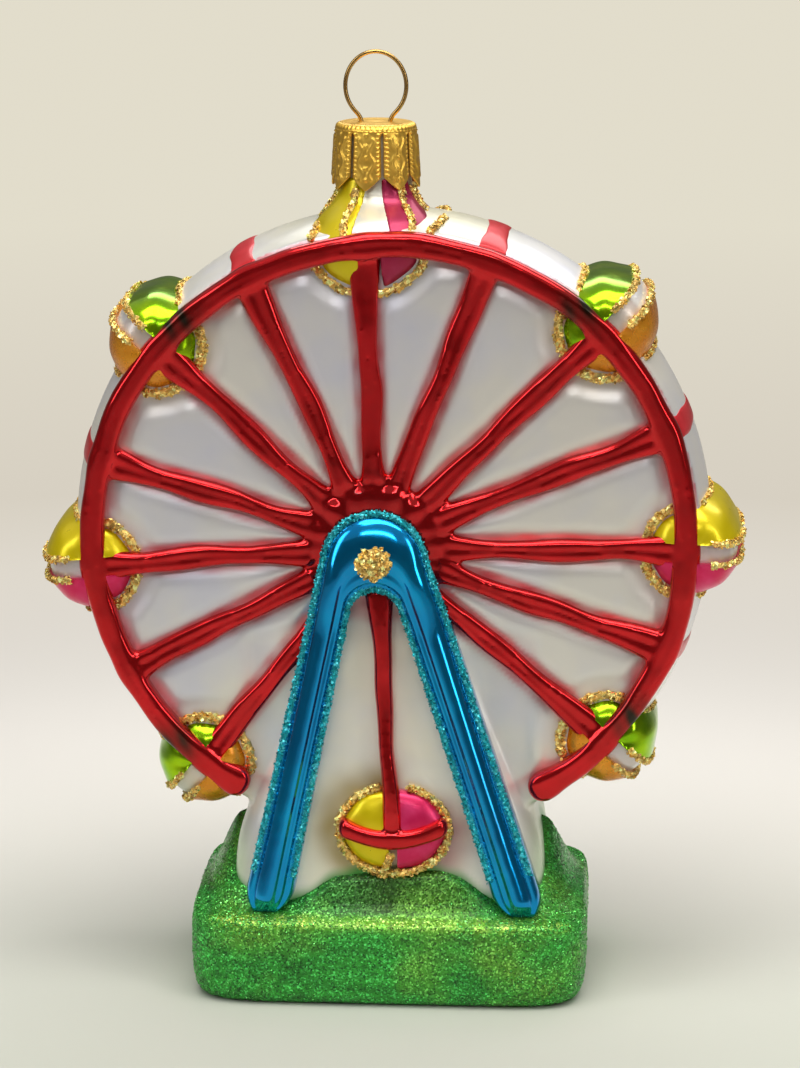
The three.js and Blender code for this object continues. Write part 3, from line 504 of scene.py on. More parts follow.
def gondola_places(glass, gondola):
    """Each side gondola as its name, rim angle, two colours and centre."""
    for place_name, angle, first, second in GONDOLAS:
        x, z = on_wheel(glass, glass.face_radius - gondola.inset, angle)
        yield SimpleNamespace(name=place_name, angle=angle, colours=(first, second), x=float(x), z=float(z))


def face_share(glass, gondola):
    """The barrel narrows to this share of its radius where it meets the wheel's face."""
    share = glass.half_depth / (glass.half_depth + gondola.proud)
    return (1 - share ** gondola.squareness) ** (1 / gondola.squareness)


def lean_of(glass):
    """The slope of the pedestal's front, as an angle."""
    top_depth = glass.half_depth - 0.2
    return math.atan((glass.pedestal_depth - top_depth) / glass.pedestal_height)


def leaned(glass, x, out, up):
    """A point of the drawing on the pedestal's leaning front: across, out of it and up its slope
    from the foot's height, as a point in space."""
    lean = lean_of(glass)
    y = -out * math.cos(lean) + up * math.sin(lean) - glass.pedestal_depth
    z = out * math.sin(lean) + up * math.cos(lean) + glass.pedestal_z
    return spots(x, y, z)


def up_slope(glass, z):
    """How far up the leaning front a height lies."""
    return (z - glass.pedestal_z) / math.cos(lean_of(glass))


def arch_over(centre, radius, left, right):
    """An edge of the A-frame: straight up from the left foot, round the circle between the two
    tangents, and straight down to the right foot, with points that close up towards the feet."""
    left, right, centre = np.asarray(left), np.asarray(right), np.asarray(centre)

    def tangent(foot, side):
        """The turn at which a line from a foot touches the circle, on the given side."""
        reach = foot - centre
        return math.atan2(reach[1], reach[0]) + side * math.acos(radius / math.hypot(*reach))

    start, end = tangent(left, -1) + 2 * math.pi, tangent(right, 1)
    turn = np.linspace(start, end, ARC_POINTS)
    round_part = centre + radius * np.stack([np.cos(turn), np.sin(turn)], -1)
    up = np.linspace(0, 1, LEG_POINTS, endpoint=False)[:, None] ** FOOT_CROWDING
    return np.concatenate([
        left + (round_part[0] - left) * up,
        round_part,
        round_part[-1] + (right - round_part[-1]) * (1 - up[::-1]),
    ])


def leg_edges(glass, relief, legs):
    """The outer and the inner edge of the A-frame, point for point, in the leaning plane."""
    hub_x, hub_z = hub_place(glass, relief)
    foot = up_slope(glass, legs.foot_z)
    half = legs.width / 2
    apex = [hub_x, up_slope(glass, hub_z - 2)]
    arch = [hub_x, up_slope(glass, hub_z - 2 - legs.arch_drop)]
    outer = arch_over(apex, legs.apex_radius, [legs.left_x - half, foot], [legs.right_x + half, foot])
    inner = arch_over(arch, legs.arch_radius, [legs.left_x + half, foot], [legs.right_x - half, foot])
    return outer, inner


# ---------------------------------------------------------------- pearl glass

def drum_skin(glass):
    """The wheel's drum, a profile turned about the axle: flat faces and a tread that swells as
    one minus the square of the share across."""
    across = np.linspace(-1, 1, 25)
    tread = np.stack([
        glass.face_radius + glass.tread_bulge * (1 - across ** 2),
        across * glass.half_depth,
    ], -1)
    rings = np.array([0, 6, 12, 18, 24, 30, 34, 38, 41, 43])
    front = np.stack([rings, np.full(len(rings), -glass.half_depth)], -1)
    back = front[::-1] * [1, -1]
    profile = np.concatenate([front, tread, back])
    turn = full_turn(160)
    radius, depth = profile[:, 0][:, None], profile[:, 1][:, None]
    points = np.stack([radius * np.cos(turn), depth + 0 * turn, glass.wheel_z + radius * np.sin(turn)], -1)
    return skin(points, wrap_columns=True)


def pedestal_skin(glass):
    """The pedestal: superellipse rings of power 7 stacked up, their width from a table and
    their depth falling with the lean, closed above and below."""
    shares = np.array(PEDESTAL_SECTIONS)
    rise = np.linspace(0, 1, 40)
    width = np.interp(rise, shares[:, 0], shares[:, 1]) * glass.pedestal_width
    depth = glass.pedestal_depth - rise * glass.pedestal_height * math.tan(lean_of(glass))
    height = glass.pedestal_z + rise * glass.pedestal_height
    turn = full_turn(120)
    ring_x, ring_y = bent(np.cos(turn), PEDESTAL_SQUARENESS), bent(np.sin(turn), PEDESTAL_SQUARENESS)
    body = spots(
        width[:, None] * ring_x, depth[:, None] * ring_y, height[:, None])
    low, high = body[0].copy(), body[-1].copy()
    low[:, :2] = 0
    high[:, :2] = 0
    return skin(np.concatenate([low[None], body, high[None]]), wrap_columns=True)


def flare_foot(glass):
    """The height of the flare's foot, inside the wheel."""
    return glass.wheel_z + glass.face_radius + glass.tread_bulge - FLARE_SINK


def flare_radius(glass, z, turn):
    """The neck's radius at a height and a turn from the front: its own, plus a flare that grows
    with the square of the way down, plus a lean out to the wheel's faces near the tread."""
    up = np.clip((z - flare_foot(glass)) / FLARE_HEIGHT, 0, 1)
    lean = 3 * smooth((glass.wheel_z + glass.face_radius + 4 - z) / 3.4) * np.cos(turn) ** 2
    return glass.neck_radius + (glass.flare_radius - glass.neck_radius) * (1 - up) ** 2 + lean


def held_back(y, limit):
    """Depths beyond a limit pressed to 15% of their excess."""
    return np.where(np.abs(y) > limit, np.sign(y) * (limit + 0.15 * (np.abs(y) - limit)), y)


def neck_skin(glass, cap):
    """The neck, a profile turned about the cap's axis: up the flare and the tube, over a rounded
    lip, down the bore that the prongs grip and across its floor."""
    top, foot = cap.top_z - cap.sheet - SEAT_GAP, flare_foot(glass)
    floor = top - BORE_DEPTH
    z = np.concatenate([
        [foot], foot + FLARE_HEIGHT * np.linspace(0, 1, 30), [top - 0.4, top],
        [top, top - 0.4, top - 5, floor, floor],
    ])[:, None]
    turn = full_turn(96)[None, :]
    radius = flare_radius(glass, z, turn)
    radius[-6] -= LIP
    radius[-5:-1] = glass.neck_radius - BORE_WALL
    radius[-5] += LIP
    radius[[0, -1]] = 0
    points = spots(
        cap.centre_x + radius * np.sin(turn), held_back(-radius * np.cos(turn), glass.half_depth + 0.6), z)
    return skin(points, wrap_columns=True)


def barrel_skin(gondola, x, z, radius, half_depth):
    """A gondola's barrel: radius times bent cosine out from its axis and half depth times
    bent sine along it, turned about the axis."""
    t = np.linspace(-np.pi / 2, np.pi / 2, 32)[:, None]
    u = full_turn(48)[None, :]
    out = radius * bent(np.cos(t), gondola.squareness)
    points = spots(
        x + out * np.cos(u), half_depth * bent(np.sin(t), gondola.squareness), z + out * np.sin(u))
    return skin(points, wrap_columns=True)


def spoke_distance(glass, relief, x, z):
    """How far a point of the face is from the middle line of the nearest spoke."""
    hub = hub_place(glass, relief)
    nearest = np.full(x.shape, 1e3)
    for angle in SPOKE_ANGLES:
        end = np.array(on_wheel(glass, glass.face_radius, angle)) - hub
        share = np.clip(((x - hub[0]) * end[0] + (z - hub[1]) * end[1]) / (end @ end), 0, 1)
        nearest = np.minimum(nearest, np.hypot(x - hub[0] - share * end[0], z - hub[1] - share * end[1]))
    return nearest


def panel_swell(glass, relief, gondola, x, y, z):
    """How much of its swell each point of the glass has: none on spokes, rim, hub, gondolas and
    the foot of the face, all of it in the middle of a panel."""
    radius = np.hypot(x, z - glass.wheel_z)
    hub = hub_place(glass, relief)
    from_hub = np.hypot(x - hub[0], z - hub[1])
    off_spoke = spoke_distance(glass, relief, x, z)
    on_face = smooth((np.abs(y) - glass.half_depth + 0.6) / 0.5) * (radius < glass.face_radius)
    swell = smooth((off_spoke - 0.6) / 3.2) * smooth((glass.face_radius - 3.2 - radius) / 3)
    swell *= smooth((from_hub - relief.hub_radius + 1.2) / 3) * on_face
    below = smooth((glass.wheel_z - 12 - z) / 4) * smooth((22 - np.abs(x)) / 3)
    under_arch = smooth((glass.wheel_z - 6 - z) / 2) * smooth((8 - np.abs(x - hub[0])) / 2)
    swell *= 1 - np.maximum(below, under_arch)
    for g in gondola_places(glass, gondola):
        swell *= smooth((np.hypot(x - g.x, z - g.z) - gondola.radius - 0.4) / 3)
    top_gap = np.hypot(x - gondola.top_x, z - glass.wheel_z - glass.face_radius)
    swell *= smooth((top_gap - gondola.top_radius + 0.6) / 3)
    return swell


def pearl_paint(glass, relief, gondola, base, colours, x, y, z):
    """A colour for each point of the pearl glass: pearl, what the other lacquers bleed into it, and painted
    light, shade and reflection.
    """
    radius = np.hypot(x, z - glass.wheel_z)
    hub = hub_place(glass, relief)
    from_hub = np.hypot(x - hub[0], z - hub[1])
    off_spoke = spoke_distance(glass, relief, x, z)
    tint = np.tile(np.array(colours.pearl[:]), (len(x), 1))

    def blend(target, share):
        """Mixes a share of another colour into the tint."""
        nonlocal tint
        share = np.clip(share, 0, 1)[:, None]
        tint = tint * (1 - share) + np.array(target) * share

    noise = 0.65 + 0.35 * np.sin(x * 0.9 + 2 * np.sin(z * 0.37)) * np.cos(z * 0.71 + x * 0.23)
    face = smooth((np.abs(y) - glass.half_depth + 1.2) / 0.8)
    # Painted light: below the hub, the lower faces and the pedestal's front are lifted to a pale cream.
    front = smooth((glass.wheel_z - 11 - z) / 5) * smooth((np.abs(y) - glass.half_depth + 0.6) / 0.4)
    blend((1, 0.97, 0.82), 0.85 * front * smooth((17 - np.abs(x - hub[0])) / 4))
    fringe = bump(np.clip(off_spoke - relief.spoke_width / 2, 0, None), 0.5)
    fringe = np.maximum(fringe, bump(np.clip(glass.face_radius - relief.rim_width - radius, 0, None), 0.6))
    fringe = np.maximum(fringe, bump(np.clip(from_hub - relief.hub_radius, 0, None), 0.9))
    above = smooth((z - glass.wheel_z + 38) / 4)
    blend((0.66, 0.06, 0.09), 0.75 * fringe * face * noise * (radius < glass.face_radius) * above)
    for g in gondola_places(glass, gondola):
        near = np.hypot(x - g.x, z - g.z) - gondola.radius
        warm = (0.78, 0.42, 0.2) if "orange" in g.colours else (0.75, 0.3, 0.34)
        blend(warm, 0.3 * bump(np.clip(near, 0, None), 1.4) * noise)
    bottom = np.hypot(x - gondola.bottom_x, (z - gondola.bottom_z - 0.8) / 0.8) - gondola.bottom_radius - 1.4
    haze = bump(np.clip(bottom, 0, None), 3.2) * (0.7 + 0.3 * noise)
    left = smooth((gondola.bottom_x - x) / 5 + 0.5)
    blend((0.34, 0.22, 0.02), 0.85 * haze * left)
    blend((0.36, 0.08, 0.1), 0.8 * haze * (1 - left) * smooth((gondola.bottom_z + 9 - z) / 8))
    # Painted shade and light on the tread: darker and yellower on its top, near white on its sides.
    tread = smooth((radius - glass.face_radius + 0.2) / 0.6)
    tread = tread * smooth((glass.half_depth - 0.2 - np.abs(y)) / 0.6)
    tread *= z > glass.wheel_z - 34
    sideways = smooth((np.abs(x) - 12) / 14)
    blend((0.72, 0.69, 0.5), 0.9 * tread * (1 - sideways))
    blend((1, 0.97, 0.87), 0.9 * tread * sideways)
    # Painted shade: the lower outer sides of the wheel are greyed towards olive, with a painted reflection
    # of the green base.
    shade = smooth((glass.wheel_z - 34 - z) / 14) * (radius > glass.face_radius - 8)
    blend((0.5, 0.52, 0.42), 0.4 * shade * (np.abs(x) > 16))
    # Painted reflection: the pedestal's lower flanks take a green tint from the base.
    painted_green_reflection = smooth((base.shoulder + 22 - z) / 12) * smooth((np.abs(x) - 19) / 4)
    blend((0.5, 0.75, 0.42), 0.6 * painted_green_reflection)
    green = smooth((base.shoulder + 3.1 + np.maximum(*hills(x, y)) - z + 0.25 * np.sin(x * 1.3)) / 2.4)
    blend(colours.base_green[:], green * 0.95)
    return tint


def make_pearl_glass(context):
    """Drum, pedestal, neck and the gondolas' white cores melted into one skin, with panels that
    swell between the spokes and a colour for each point where other lacquers bleed, and with painted light,
    shade and reflection."""
    glass, relief = sizes(context, "glass"), sizes(context, "relief")
    gondola, cap, base = sizes(context, "gondolas"), sizes(context, "cap"), sizes(context, "base")
    forms = [drum_skin(glass), pedestal_skin(glass), neck_skin(glass, cap)]
    full_depth = glass.half_depth + gondola.proud
    for g in gondola_places(glass, gondola):
        forms.append(barrel_skin(gondola, g.x, g.z, gondola.radius - 0.55, full_depth - 0.7))
    mesh = mesh_of("pearl_glass", gathered(forms))
    outwards(mesh)
    colours = context.scene.ornament_colours
    piece = place("pearl_glass", mesh, "glass", pearl_finish(colours), ["wheel_glass"])
    melted(piece, glass.melt, 6)
    mesh = piece.data
    points = points_of(mesh)
    points[:, 1] += np.sign(points[:, 1]) * glass.pillow * panel_swell(glass, relief, gondola, *points.T)
    move_points(mesh, points)
    paint(mesh, "paint", pearl_paint(glass, relief, gondola, base, colours, *points.T))


# ---------------------------------------------------------------- red relief

def rim_skin(glass, relief):
    """The rim: a superellipse section carried round an arc that wobbles a little in radius and
    height, swollen where each spoke meets it, ending in round stumps."""
    along = np.linspace(0, 1, 520)
    degrees = RIM_START + RIM_TURN * along
    middle = glass.face_radius - relief.rim_width / 2
    radius = middle + wander(along * 3, 3, 0.2) + wander(along * 9, 4, 0.12)
    x, z = on_wheel(glass, radius, degrees)
    meets = np.zeros(len(degrees))
    for angle in SPOKE_ANGLES:
        gap = (degrees - angle + 180) % 360 - 180
        meets = np.maximum(meets, bump(gap, 3.2))
    width = relief.rim_width / 2 * (1 + 0.07 * np.sin(along * 61) * np.sin(along * 23) + 0.16 * meets)
    sunk = 0.7
    top = relief.rim_proud + wander(along * 7, 5, 0.12)
    height = (top + sunk) / 2
    ends = end_round(along * RIM_TURN, RIM_TURN, 2.6)
    swell = 1 + 0.28 * bump(np.minimum(along, 1 - along) * RIM_TURN - 3.5, 3)
    path = np.stack([x, -glass.half_depth + sunk - height, z], -1)
    turn = np.radians(degrees)
    across = np.stack([np.cos(turn), 0 * turn, np.sin(turn)], -1)
    up = np.tile([0.0, -1.0, 0.0], (len(path), 1))
    return tube(path, across, up, width * ends * swell, height * ends, 2.7, 28, groove=0.1)


def spoke_skin(glass, relief, index, angle):
    """A spoke: a superellipse section carried from the hub to the rim along a line that wobbles,
    thin in the middle and swollen where it joins the rim."""
    start = hub_place(glass, relief)
    end = np.array(on_wheel(glass, glass.face_radius - relief.rim_width / 2, angle))
    along = np.linspace(0, 1, 110)[:, None]
    line = start + (end - start) * along
    direction = (end - start) / np.hypot(*(end - start))
    side = np.array([-direction[1], direction[0]])
    share = along[:, 0]
    line = line + side * (wander(share * 1.1, 20 + index, 0.42) * np.sin(np.pi * share))[:, None]
    width = relief.spoke_width / 2 * (0.9 + 0.1 * np.sin(share * 17 + index) + 0.45 * bump(1 - share, 0.13))
    width *= 1 - 0.12 * bump(share - 0.4, 0.12) + 0.25 * bump(share - 0.2, 0.1)
    sunk = 0.6
    top = relief.spoke_proud * (0.88 + 0.12 * np.sin(share * 11 + 2 * index)) + 0.35 * bump(1 - share, 0.1)
    reach = share * np.hypot(*(end - start))
    top = top * (0.3 + 0.7 * smooth((reach - relief.hub_radius + 3.4) / 3.2))
    height = (top + sunk) / 2
    path = np.stack([line[:, 0], -glass.half_depth + sunk - height, line[:, 1]], -1)
    across = np.tile([side[0], 0.0, side[1]], (len(path), 1))
    up = np.tile([0.0, -1.0, 0.0], (len(path), 1))
    ends = end_round(share * 40, 40, 1.2)
    return tube(path, across, up, width * ends, height * ends, 2.3, 28, groove=0.3)


# across and up from the hub's centre
HUB_LUMPS = [(-1.9, 7.4), (2.4, 7.5), (-6.1, 5.4), (6.4, 5.5), (-8.6, 1.2), (8.6, 1.6)]


def hub_skin(glass, relief):
    """The hub: a dome whose radius swells into a root for each spoke, with low lumps over it."""
    centre = hub_place(glass, relief)
    v = np.linspace(0, np.pi / 2, 26)[:, None]
    u = full_turn(180)[None, :]
    flute = np.zeros(u.shape)
    for angle in SPOKE_ANGLES:
        x, z = on_wheel(glass, glass.face_radius, angle)
        toward = math.atan2(z - centre[1], x - centre[0])
        gap = (u - toward + np.pi) % (2 * np.pi) - np.pi
        flute = np.maximum(flute, bump(gap, 0.14))
    radius = relief.hub_radius * (0.9 + 0.13 * flute)
    out = radius * np.cos(v) ** 0.8
    high = relief.hub_proud * np.sin(v) ** 0.8 + 0.3 * flute * np.cos(v) * np.sin(v)
    points = spots(
        centre[0] + out * np.cos(u), -glass.half_depth - high + 0 * u, centre[1] + out * np.sin(u))
    for lump_x, lump_z in HUB_LUMPS:
        near = np.hypot(points[..., 0] - centre[0] - lump_x, points[..., 2] - centre[1] - lump_z)
        points[..., 1] -= 0.55 * bump(near, 1.9)
    under_arch = smooth((5 - np.abs(points[..., 0] - centre[0])) / 1.2)
    under_arch = under_arch * smooth((centre[1] - 5 - points[..., 2]) / 1.2)
    points[..., 1] = points[..., 1] * (1 - under_arch) - (glass.half_depth - 0.7) * under_arch
    floor_points = points[:1].copy()
    floor_points[..., 1] += 0.8
    middle = np.tile([centre[0], -glass.half_depth + 0.8, centre[1]], (1, u.shape[1], 1))
    return skin(np.concatenate([middle, floor_points, points]), wrap_columns=True)


def make_red_relief(context):
    """Rim, spokes and hub of each face, melted into one skin of red lacquer."""
    glass, relief, gondola = sizes(context, "glass"), sizes(context, "relief"), sizes(context, "gondolas")
    red = red_finish(context.scene.ornament_colours, "paint")
    forms = [rim_skin(glass, relief), hub_skin(glass, relief)]
    forms += [spoke_skin(glass, relief, i, angle) for i, angle in enumerate(SPOKE_ANGLES)]
    mesh = mesh_of("red_relief_front", gathered(forms))
    outwards(mesh)
    piece = place("red_relief_front", mesh, "glass", red,
                  ["rim_front", "hub_and_spokes_front"])
    melted(piece, relief.melt, 8)
    at = points_of(piece.data)
    tint = np.tile(context.scene.ornament_colours.red[:], (len(at), 1))
    hub = hub_place(glass, relief)
    # Darker towards the hub's middle.
    tint *= 1 - 0.45 * bump(np.hypot(at[:, 0] - hub[0], at[:, 2] - hub[1]), 9)[:, None]
    for g in gondola_places(glass, gondola):
        if "green" not in g.colours:
            continue
        toward = math.radians(g.angle) + (1, -1)[g.colours.index("green")] * math.pi / 2
        x, z = g.x + 5.2 * math.cos(toward), g.z + 5.2 * math.sin(toward)
        stain = bump(np.hypot(at[:, 0] - x, at[:, 2] - z), 3.1)
        stain = stain * (0.75 + 0.25 * np.sin(at[:, 0] * 2.1 + at[:, 2]))
        tint = tint + (np.array([0.02, 0.012, 0.004]) - tint) * np.clip(1.25 * stain, 0, 1)[:, None]
    paint(piece.data, "paint", tint)
    back = piece.data.copy()
    points = points_of(back)
    points[:, 1] *= -1
    move_points(back, points)
    back.flip_normals()
    place("red_relief_back", back, "glass", red, ["rim_back", "hub_and_spokes_back"])


def make_tread_bands(context):
    """Red bands painted across the tread: a thin strip over the tread's swell, with an edge
    that wavers along its length, thick in its middle and sunk at its edges."""
    glass = sizes(context, "glass")
    red = lacquer("painted red", (0.6, 0.014, 0.02), (0.85, 0.05, 0.07), 0.35, 0.3, 0.15, patch=160.0,
                  strength=0.6)
    for i, angle in enumerate(BAND_ANGLES):
        across = np.linspace(-0.98, 0.98, 60)[:, None]
        s = np.linspace(-1, 1, 25)[None, :]
        edge = 1.8 + wander(np.linspace(0, 1, 60), 60 + i, 0.35)[:, None]
        lift = 0.32 * np.sqrt(np.clip(1 - np.abs(s) ** 3, 0, 1)) * np.sqrt(1 - np.abs(across) ** 8)
        radius = glass.face_radius + glass.tread_bulge * (1 - across ** 2)
        turn = np.radians(angle) + s * edge / radius

        def sheet(raised):
            """The band's points, raised over the tread."""
            reach = radius + raised
            return spots(
                reach * np.cos(turn), across * glass.half_depth, glass.wheel_z + reach * np.sin(turn))

        top, under = sheet(lift - 0.12), sheet(-0.5 - 0 * lift)
        loop = np.concatenate([top, under[:, ::-1]], 1)
        first, last = loop[:1].mean(1, keepdims=True), loop[-1:].mean(1, keepdims=True)
        loop = np.concatenate([np.repeat(first, loop.shape[1], 1), loop, np.repeat(last, loop.shape[1], 1)])
        mesh = mesh_of(f"tread_band_{i + 1}", skin(loop, wrap_columns=True))
        outwards(mesh)
        place(f"red_tread_band_{i + 1}", mesh, "glass", red, [f"tread_band_{i + 1}"])


# ---------------------------------------------------------------- gondolas

def half_barrel(gondola, x, z, radius, half_depth, facing, split, folds, outer=1, flat=0.0):
    """One coloured half of a gondola's barrel: an outline that is half a turn round the side it
    faces and a straight chord along the split, scaled by the bent cosine and set along the axis
    by the bent sine. Folds are cosines round the turn that press the skin in and out."""
    t = np.linspace(-np.pi / 2, np.pi / 2, 44)[:, None]
    turn = np.linspace(-np.pi / 2, np.pi / 2, 72)
    round_part = np.stack([np.cos(turn), np.sin(turn)], -1)
    chord = np.stack([np.zeros(20), np.linspace(1, -1, 22)[1:-1]], -1)
    outline = np.concatenate([round_part, chord])
    spread = np.concatenate([turn, np.zeros(20)])
    rounded = np.concatenate([np.ones(72), np.zeros(20)])
    folded = folds * rounded * (np.cos(spread * 9) * 0.6 + np.cos(spread * 5 + 1) * 0.4)
    folded = folded - flat * rounded * bump(spread - outer * np.pi / 4, 0.5)
    out = bent(np.cos(t), gondola.squareness)
    deep = bent(np.sin(t), gondola.squareness)
    swell = 1 + folded[None, :] * (0.4 + 0.6 * np.abs(np.sin(t)))
    a = np.maximum(radius * out * outline[None, :, 0] * swell, split)
    b = radius * out * outline[None, :, 1] * swell
    ridge = 0.45 * folds * rounded[None, :] * (1 + np.cos(spread * 9))[None, :]
    ridge = 1 - ridge * np.abs(np.sin(t)) ** 3 * out
    y = deep * half_depth * ridge
    away = np.array([math.cos(facing), math.sin(facing)])
    side = np.array([-away[1], away[0]])
    points = np.stack([
        x + a * away[0] + b * side[0],
        np.broadcast_to(y, a.shape),
        z + a * away[1] + b * side[1],
    ], -1)
    return skin(points, wrap_columns=True)


FOLDS = {"green": 0.038, "orange": 0.03, "yellow": 0.028, "pink": 0.028}


def make_gondolas(context):
    """The coloured halves of the six side gondolas, each half a folded barrel through the wheel."""
    glass, gondola = sizes(context, "glass"), sizes(context, "gondolas")
    colours = context.scene.ornament_colours
    depth = glass.half_depth + gondola.proud
    for g in gondola_places(glass, gondola):
        outward = math.radians(g.angle)
        for tint, hand in zip(g.colours, (1, -1)):
            form = half_barrel(gondola, g.x, g.z, gondola.radius, depth, outward + hand * math.pi / 2,
                               gondola.stripe - 0.15, FOLDS[tint], -hand, 0.03)
            mesh = mesh_of(f"gondola_{g.name}_{tint}", form)
            outwards(mesh)
            place(f"lobe_{g.name}_{tint}", mesh, "glass", lobe_finish(colours, tint),
                  [f"gondola_{g.name}_{tint}"])


def lobe_point(glass, cap, side, u, v, lift):
    """A point of a top lobe: u turns from the silver strip in front round to the side, v runs
    from under the cap down behind the rim. Its radius is the flare's, with a swell across u that
    grows downwards."""
    top_z, low_z = cap.foot_z + 1.6, glass.wheel_z + glass.face_radius - 3
    z = top_z + (low_z - top_z) * v
    near = math.radians(11) + math.radians(3) * v
    far = math.radians(64) + math.radians(30) * v
    turn = near + (far - near) * u
    swell = np.sin(np.pi * np.clip(u, 0, 1)) ** 0.6 * (0.45 + 0.75 * smooth(v * 1.1))
    radius = flare_radius(glass, z, turn) + swell * lift
    return spots(
        cap.centre_x + side * radius * np.sin(turn),
        held_back(-radius * np.cos(turn), glass.half_depth + 1), z)


def top_lobe(glass, cap, side):
    """A lobe of the top gondola above the rim: its outer skin over u and v, and an inner skin
    within the neck that closes it."""
    u = np.linspace(0, 1, 40)[None, :]
    v = np.linspace(0, 1, 40)[:, None]
    outer = lobe_point(glass, cap, side, u, v, 1.0)
    fold = 1 + 0.006 * np.cos(u * 19) * smooth(v * 2)
    axis = np.array([cap.centre_x, 0, 0])
    outer[..., :2] = axis[:2] + (outer[..., :2] - axis[:2]) * fold[..., None]
    inner = lobe_point(glass, cap, side, u, v, 0.0)
    inner[..., :2] = axis[:2] + (inner[..., :2] - axis[:2]) * 0.86
    loop = np.concatenate([outer, inner[:, ::-1]], 1)
    first, last = loop[:1].mean(1, keepdims=True), loop[-1:].mean(1, keepdims=True)
    width = loop.shape[1]
    closed = np.concatenate([np.repeat(first, width, 1), loop, np.repeat(last, width, 1)])
    return skin(closed, wrap_columns=True)


def make_top_gondola(context):
    """The gondola under the neck: a face quarter below the rim and a lobe above it on each side."""
    glass, gondola, cap = sizes(context, "glass"), sizes(context, "gondolas"), sizes(context, "cap")
    colours = context.scene.ornament_colours
    z = glass.wheel_z + glass.face_radius
    depth = glass.half_depth + gondola.proud
    # Painted shade: the top lobes take darker copies of their lacquers, the pink darkest, where they face
    # the overhead light.
    for tint, side, shade in (("yellow", -1, 0.85), ("pink", 1, 0.5)):
        facing = math.radians(TOP_ANGLE) - side * math.pi / 2
        points, faces = half_barrel(gondola, gondola.top_x, z, gondola.top_radius, depth, facing,
                                    gondola.stripe, FOLDS[tint])
        limit = glass.wheel_z + np.sqrt((glass.face_radius - 2.4) ** 2 - points[:, 0] ** 2)
        points[:, 2] = np.where(points[:, 2] > limit, limit + (points[:, 2] - limit) * 0.12, points[:, 2])
        points[:, 1] = np.minimum(points[:, 1], -4)
        made = gathered([(points, faces), top_lobe(glass, cap, side)])
        for piece in place_both(f"lobe_top_{tint}_{{}}", made, lobe_finish(colours, tint, shade),
                                f"gondola_top_{tint}_{{}}"):
            melted(piece, 0.3, 4)


def make_bottom_gondola(context):
    """The gondola between the legs: two half domes on the leaning front, with the spoke and the
    sagging bar that cross it."""
    glass, relief = sizes(context, "glass"), sizes(context, "relief")
    gondola = sizes(context, "gondolas")
    colours = context.scene.ornament_colours
    centre_up = up_slope(glass, gondola.bottom_z)
    radius = gondola.bottom_radius
    for tint, side in (("yellow", -1), ("pink", 1)):
        v = np.linspace(0, 1, 30)[:, None]
        turn = np.linspace(-np.pi / 2, np.pi / 2, 60)
        outline = np.concatenate([
            np.stack([np.cos(turn), np.sin(turn)], -1),
            np.stack([np.zeros(16), np.linspace(1, -1, 18)[1:-1]], -1),
        ])
        spread = np.concatenate([turn, np.zeros(16)])
        rise = gondola.bottom_proud * np.sin(v * np.pi / 2) ** 0.85
        facet = 1 + 0.015 * np.cos(spread * 7)[None, :] * (1 - v)
        out = radius * np.cos(v * np.pi / 2) ** 0.75
        a = np.maximum(out * outline[None, :, 0] * facet, 0.6)
        b = 0.8 + out * outline[None, :, 1] * 0.8 * facet
        high = rise * (1 - 0.03 * (1 + np.cos(spread * 5))[None, :] * v * (1 - v) * 4)
        skirt = leaned(glass, gondola.bottom_x + side * a[:1], -1.5 + 0 * a[:1], centre_up + b[:1])
        body = leaned(glass, gondola.bottom_x + side * a, high, centre_up + b)
        middle = np.repeat(skirt.mean(1, keepdims=True), skirt.shape[1], 1)
        made = skin(np.concatenate([middle, skirt, body]), wrap_columns=True)
        place_both(f"lobe_bottom_{tint}_{{}}", made, lobe_finish(colours, tint),
                   f"gondola_bottom_{tint}_{{}}")

    wheel_up = up_slope(glass, glass.wheel_z)
    sweep = wheel_up - centre_up
    turn = np.linspace(-7.9, 7.9, 90) / sweep - math.pi / 2 + gondola.bottom_x / sweep
    share = np.linspace(0, 1, 90)
    x, up = sweep * np.cos(turn), wheel_up + sweep * np.sin(turn) - 0.4 + 1.5 * (2 * share - 1) ** 2
    half = 1.35 * (1 + 0.15 * bump(share, 0.08) + 0.1 * bump(1 - share, 0.1) + 0.12 * bump(share - 0.5, 0.2))
    ends = end_round(share * 15.2, 15.2, 1.2)
    top, sunk = 3.3, 0.4
    height = (top + sunk) / 2 + 0 * share
    bar = leaned_tube(glass, x, height - sunk, up, np.cos(turn), np.sin(turn),
                      half * ends, height * ends, 2.6)
    hub_x, hub_z = hub_place(glass, relief)
    along = np.linspace(0, 1, 110)
    foot = np.array([gondola.bottom_x, centre_up - 1])
    head = np.array([hub_x + 0.5, up_slope(glass, hub_z - 5.6)])
    line = foot + (head - foot) * along[:, None]
    line[:, 0] += wander(along, 91, 0.3) * np.sin(np.pi * along)
    width = 1.2 + 0.9 * bump(1 - along, 0.2) + 0.1 * np.sin(along * 13) + 0.3 * bump(along, 0.12)
    ends = end_round(along * 35, 35, 1.2)
    height = (2.9 + sunk + 0.3 * np.sin(along * 9)) / 2
    spoke = leaned_tube(glass, line[:, 0], height - sunk, line[:, 1], 1 + 0 * along, 0 * along,
                        width * ends, height * ends, 2.3)
    made = gathered([bar, spoke])
    for piece in place_both("bottom_spoke_and_bar_{}_lacquer", made, red_finish(colours),
                            "bottom_spoke_and_bar_{}"):
        melted(piece, 0.25, 4)


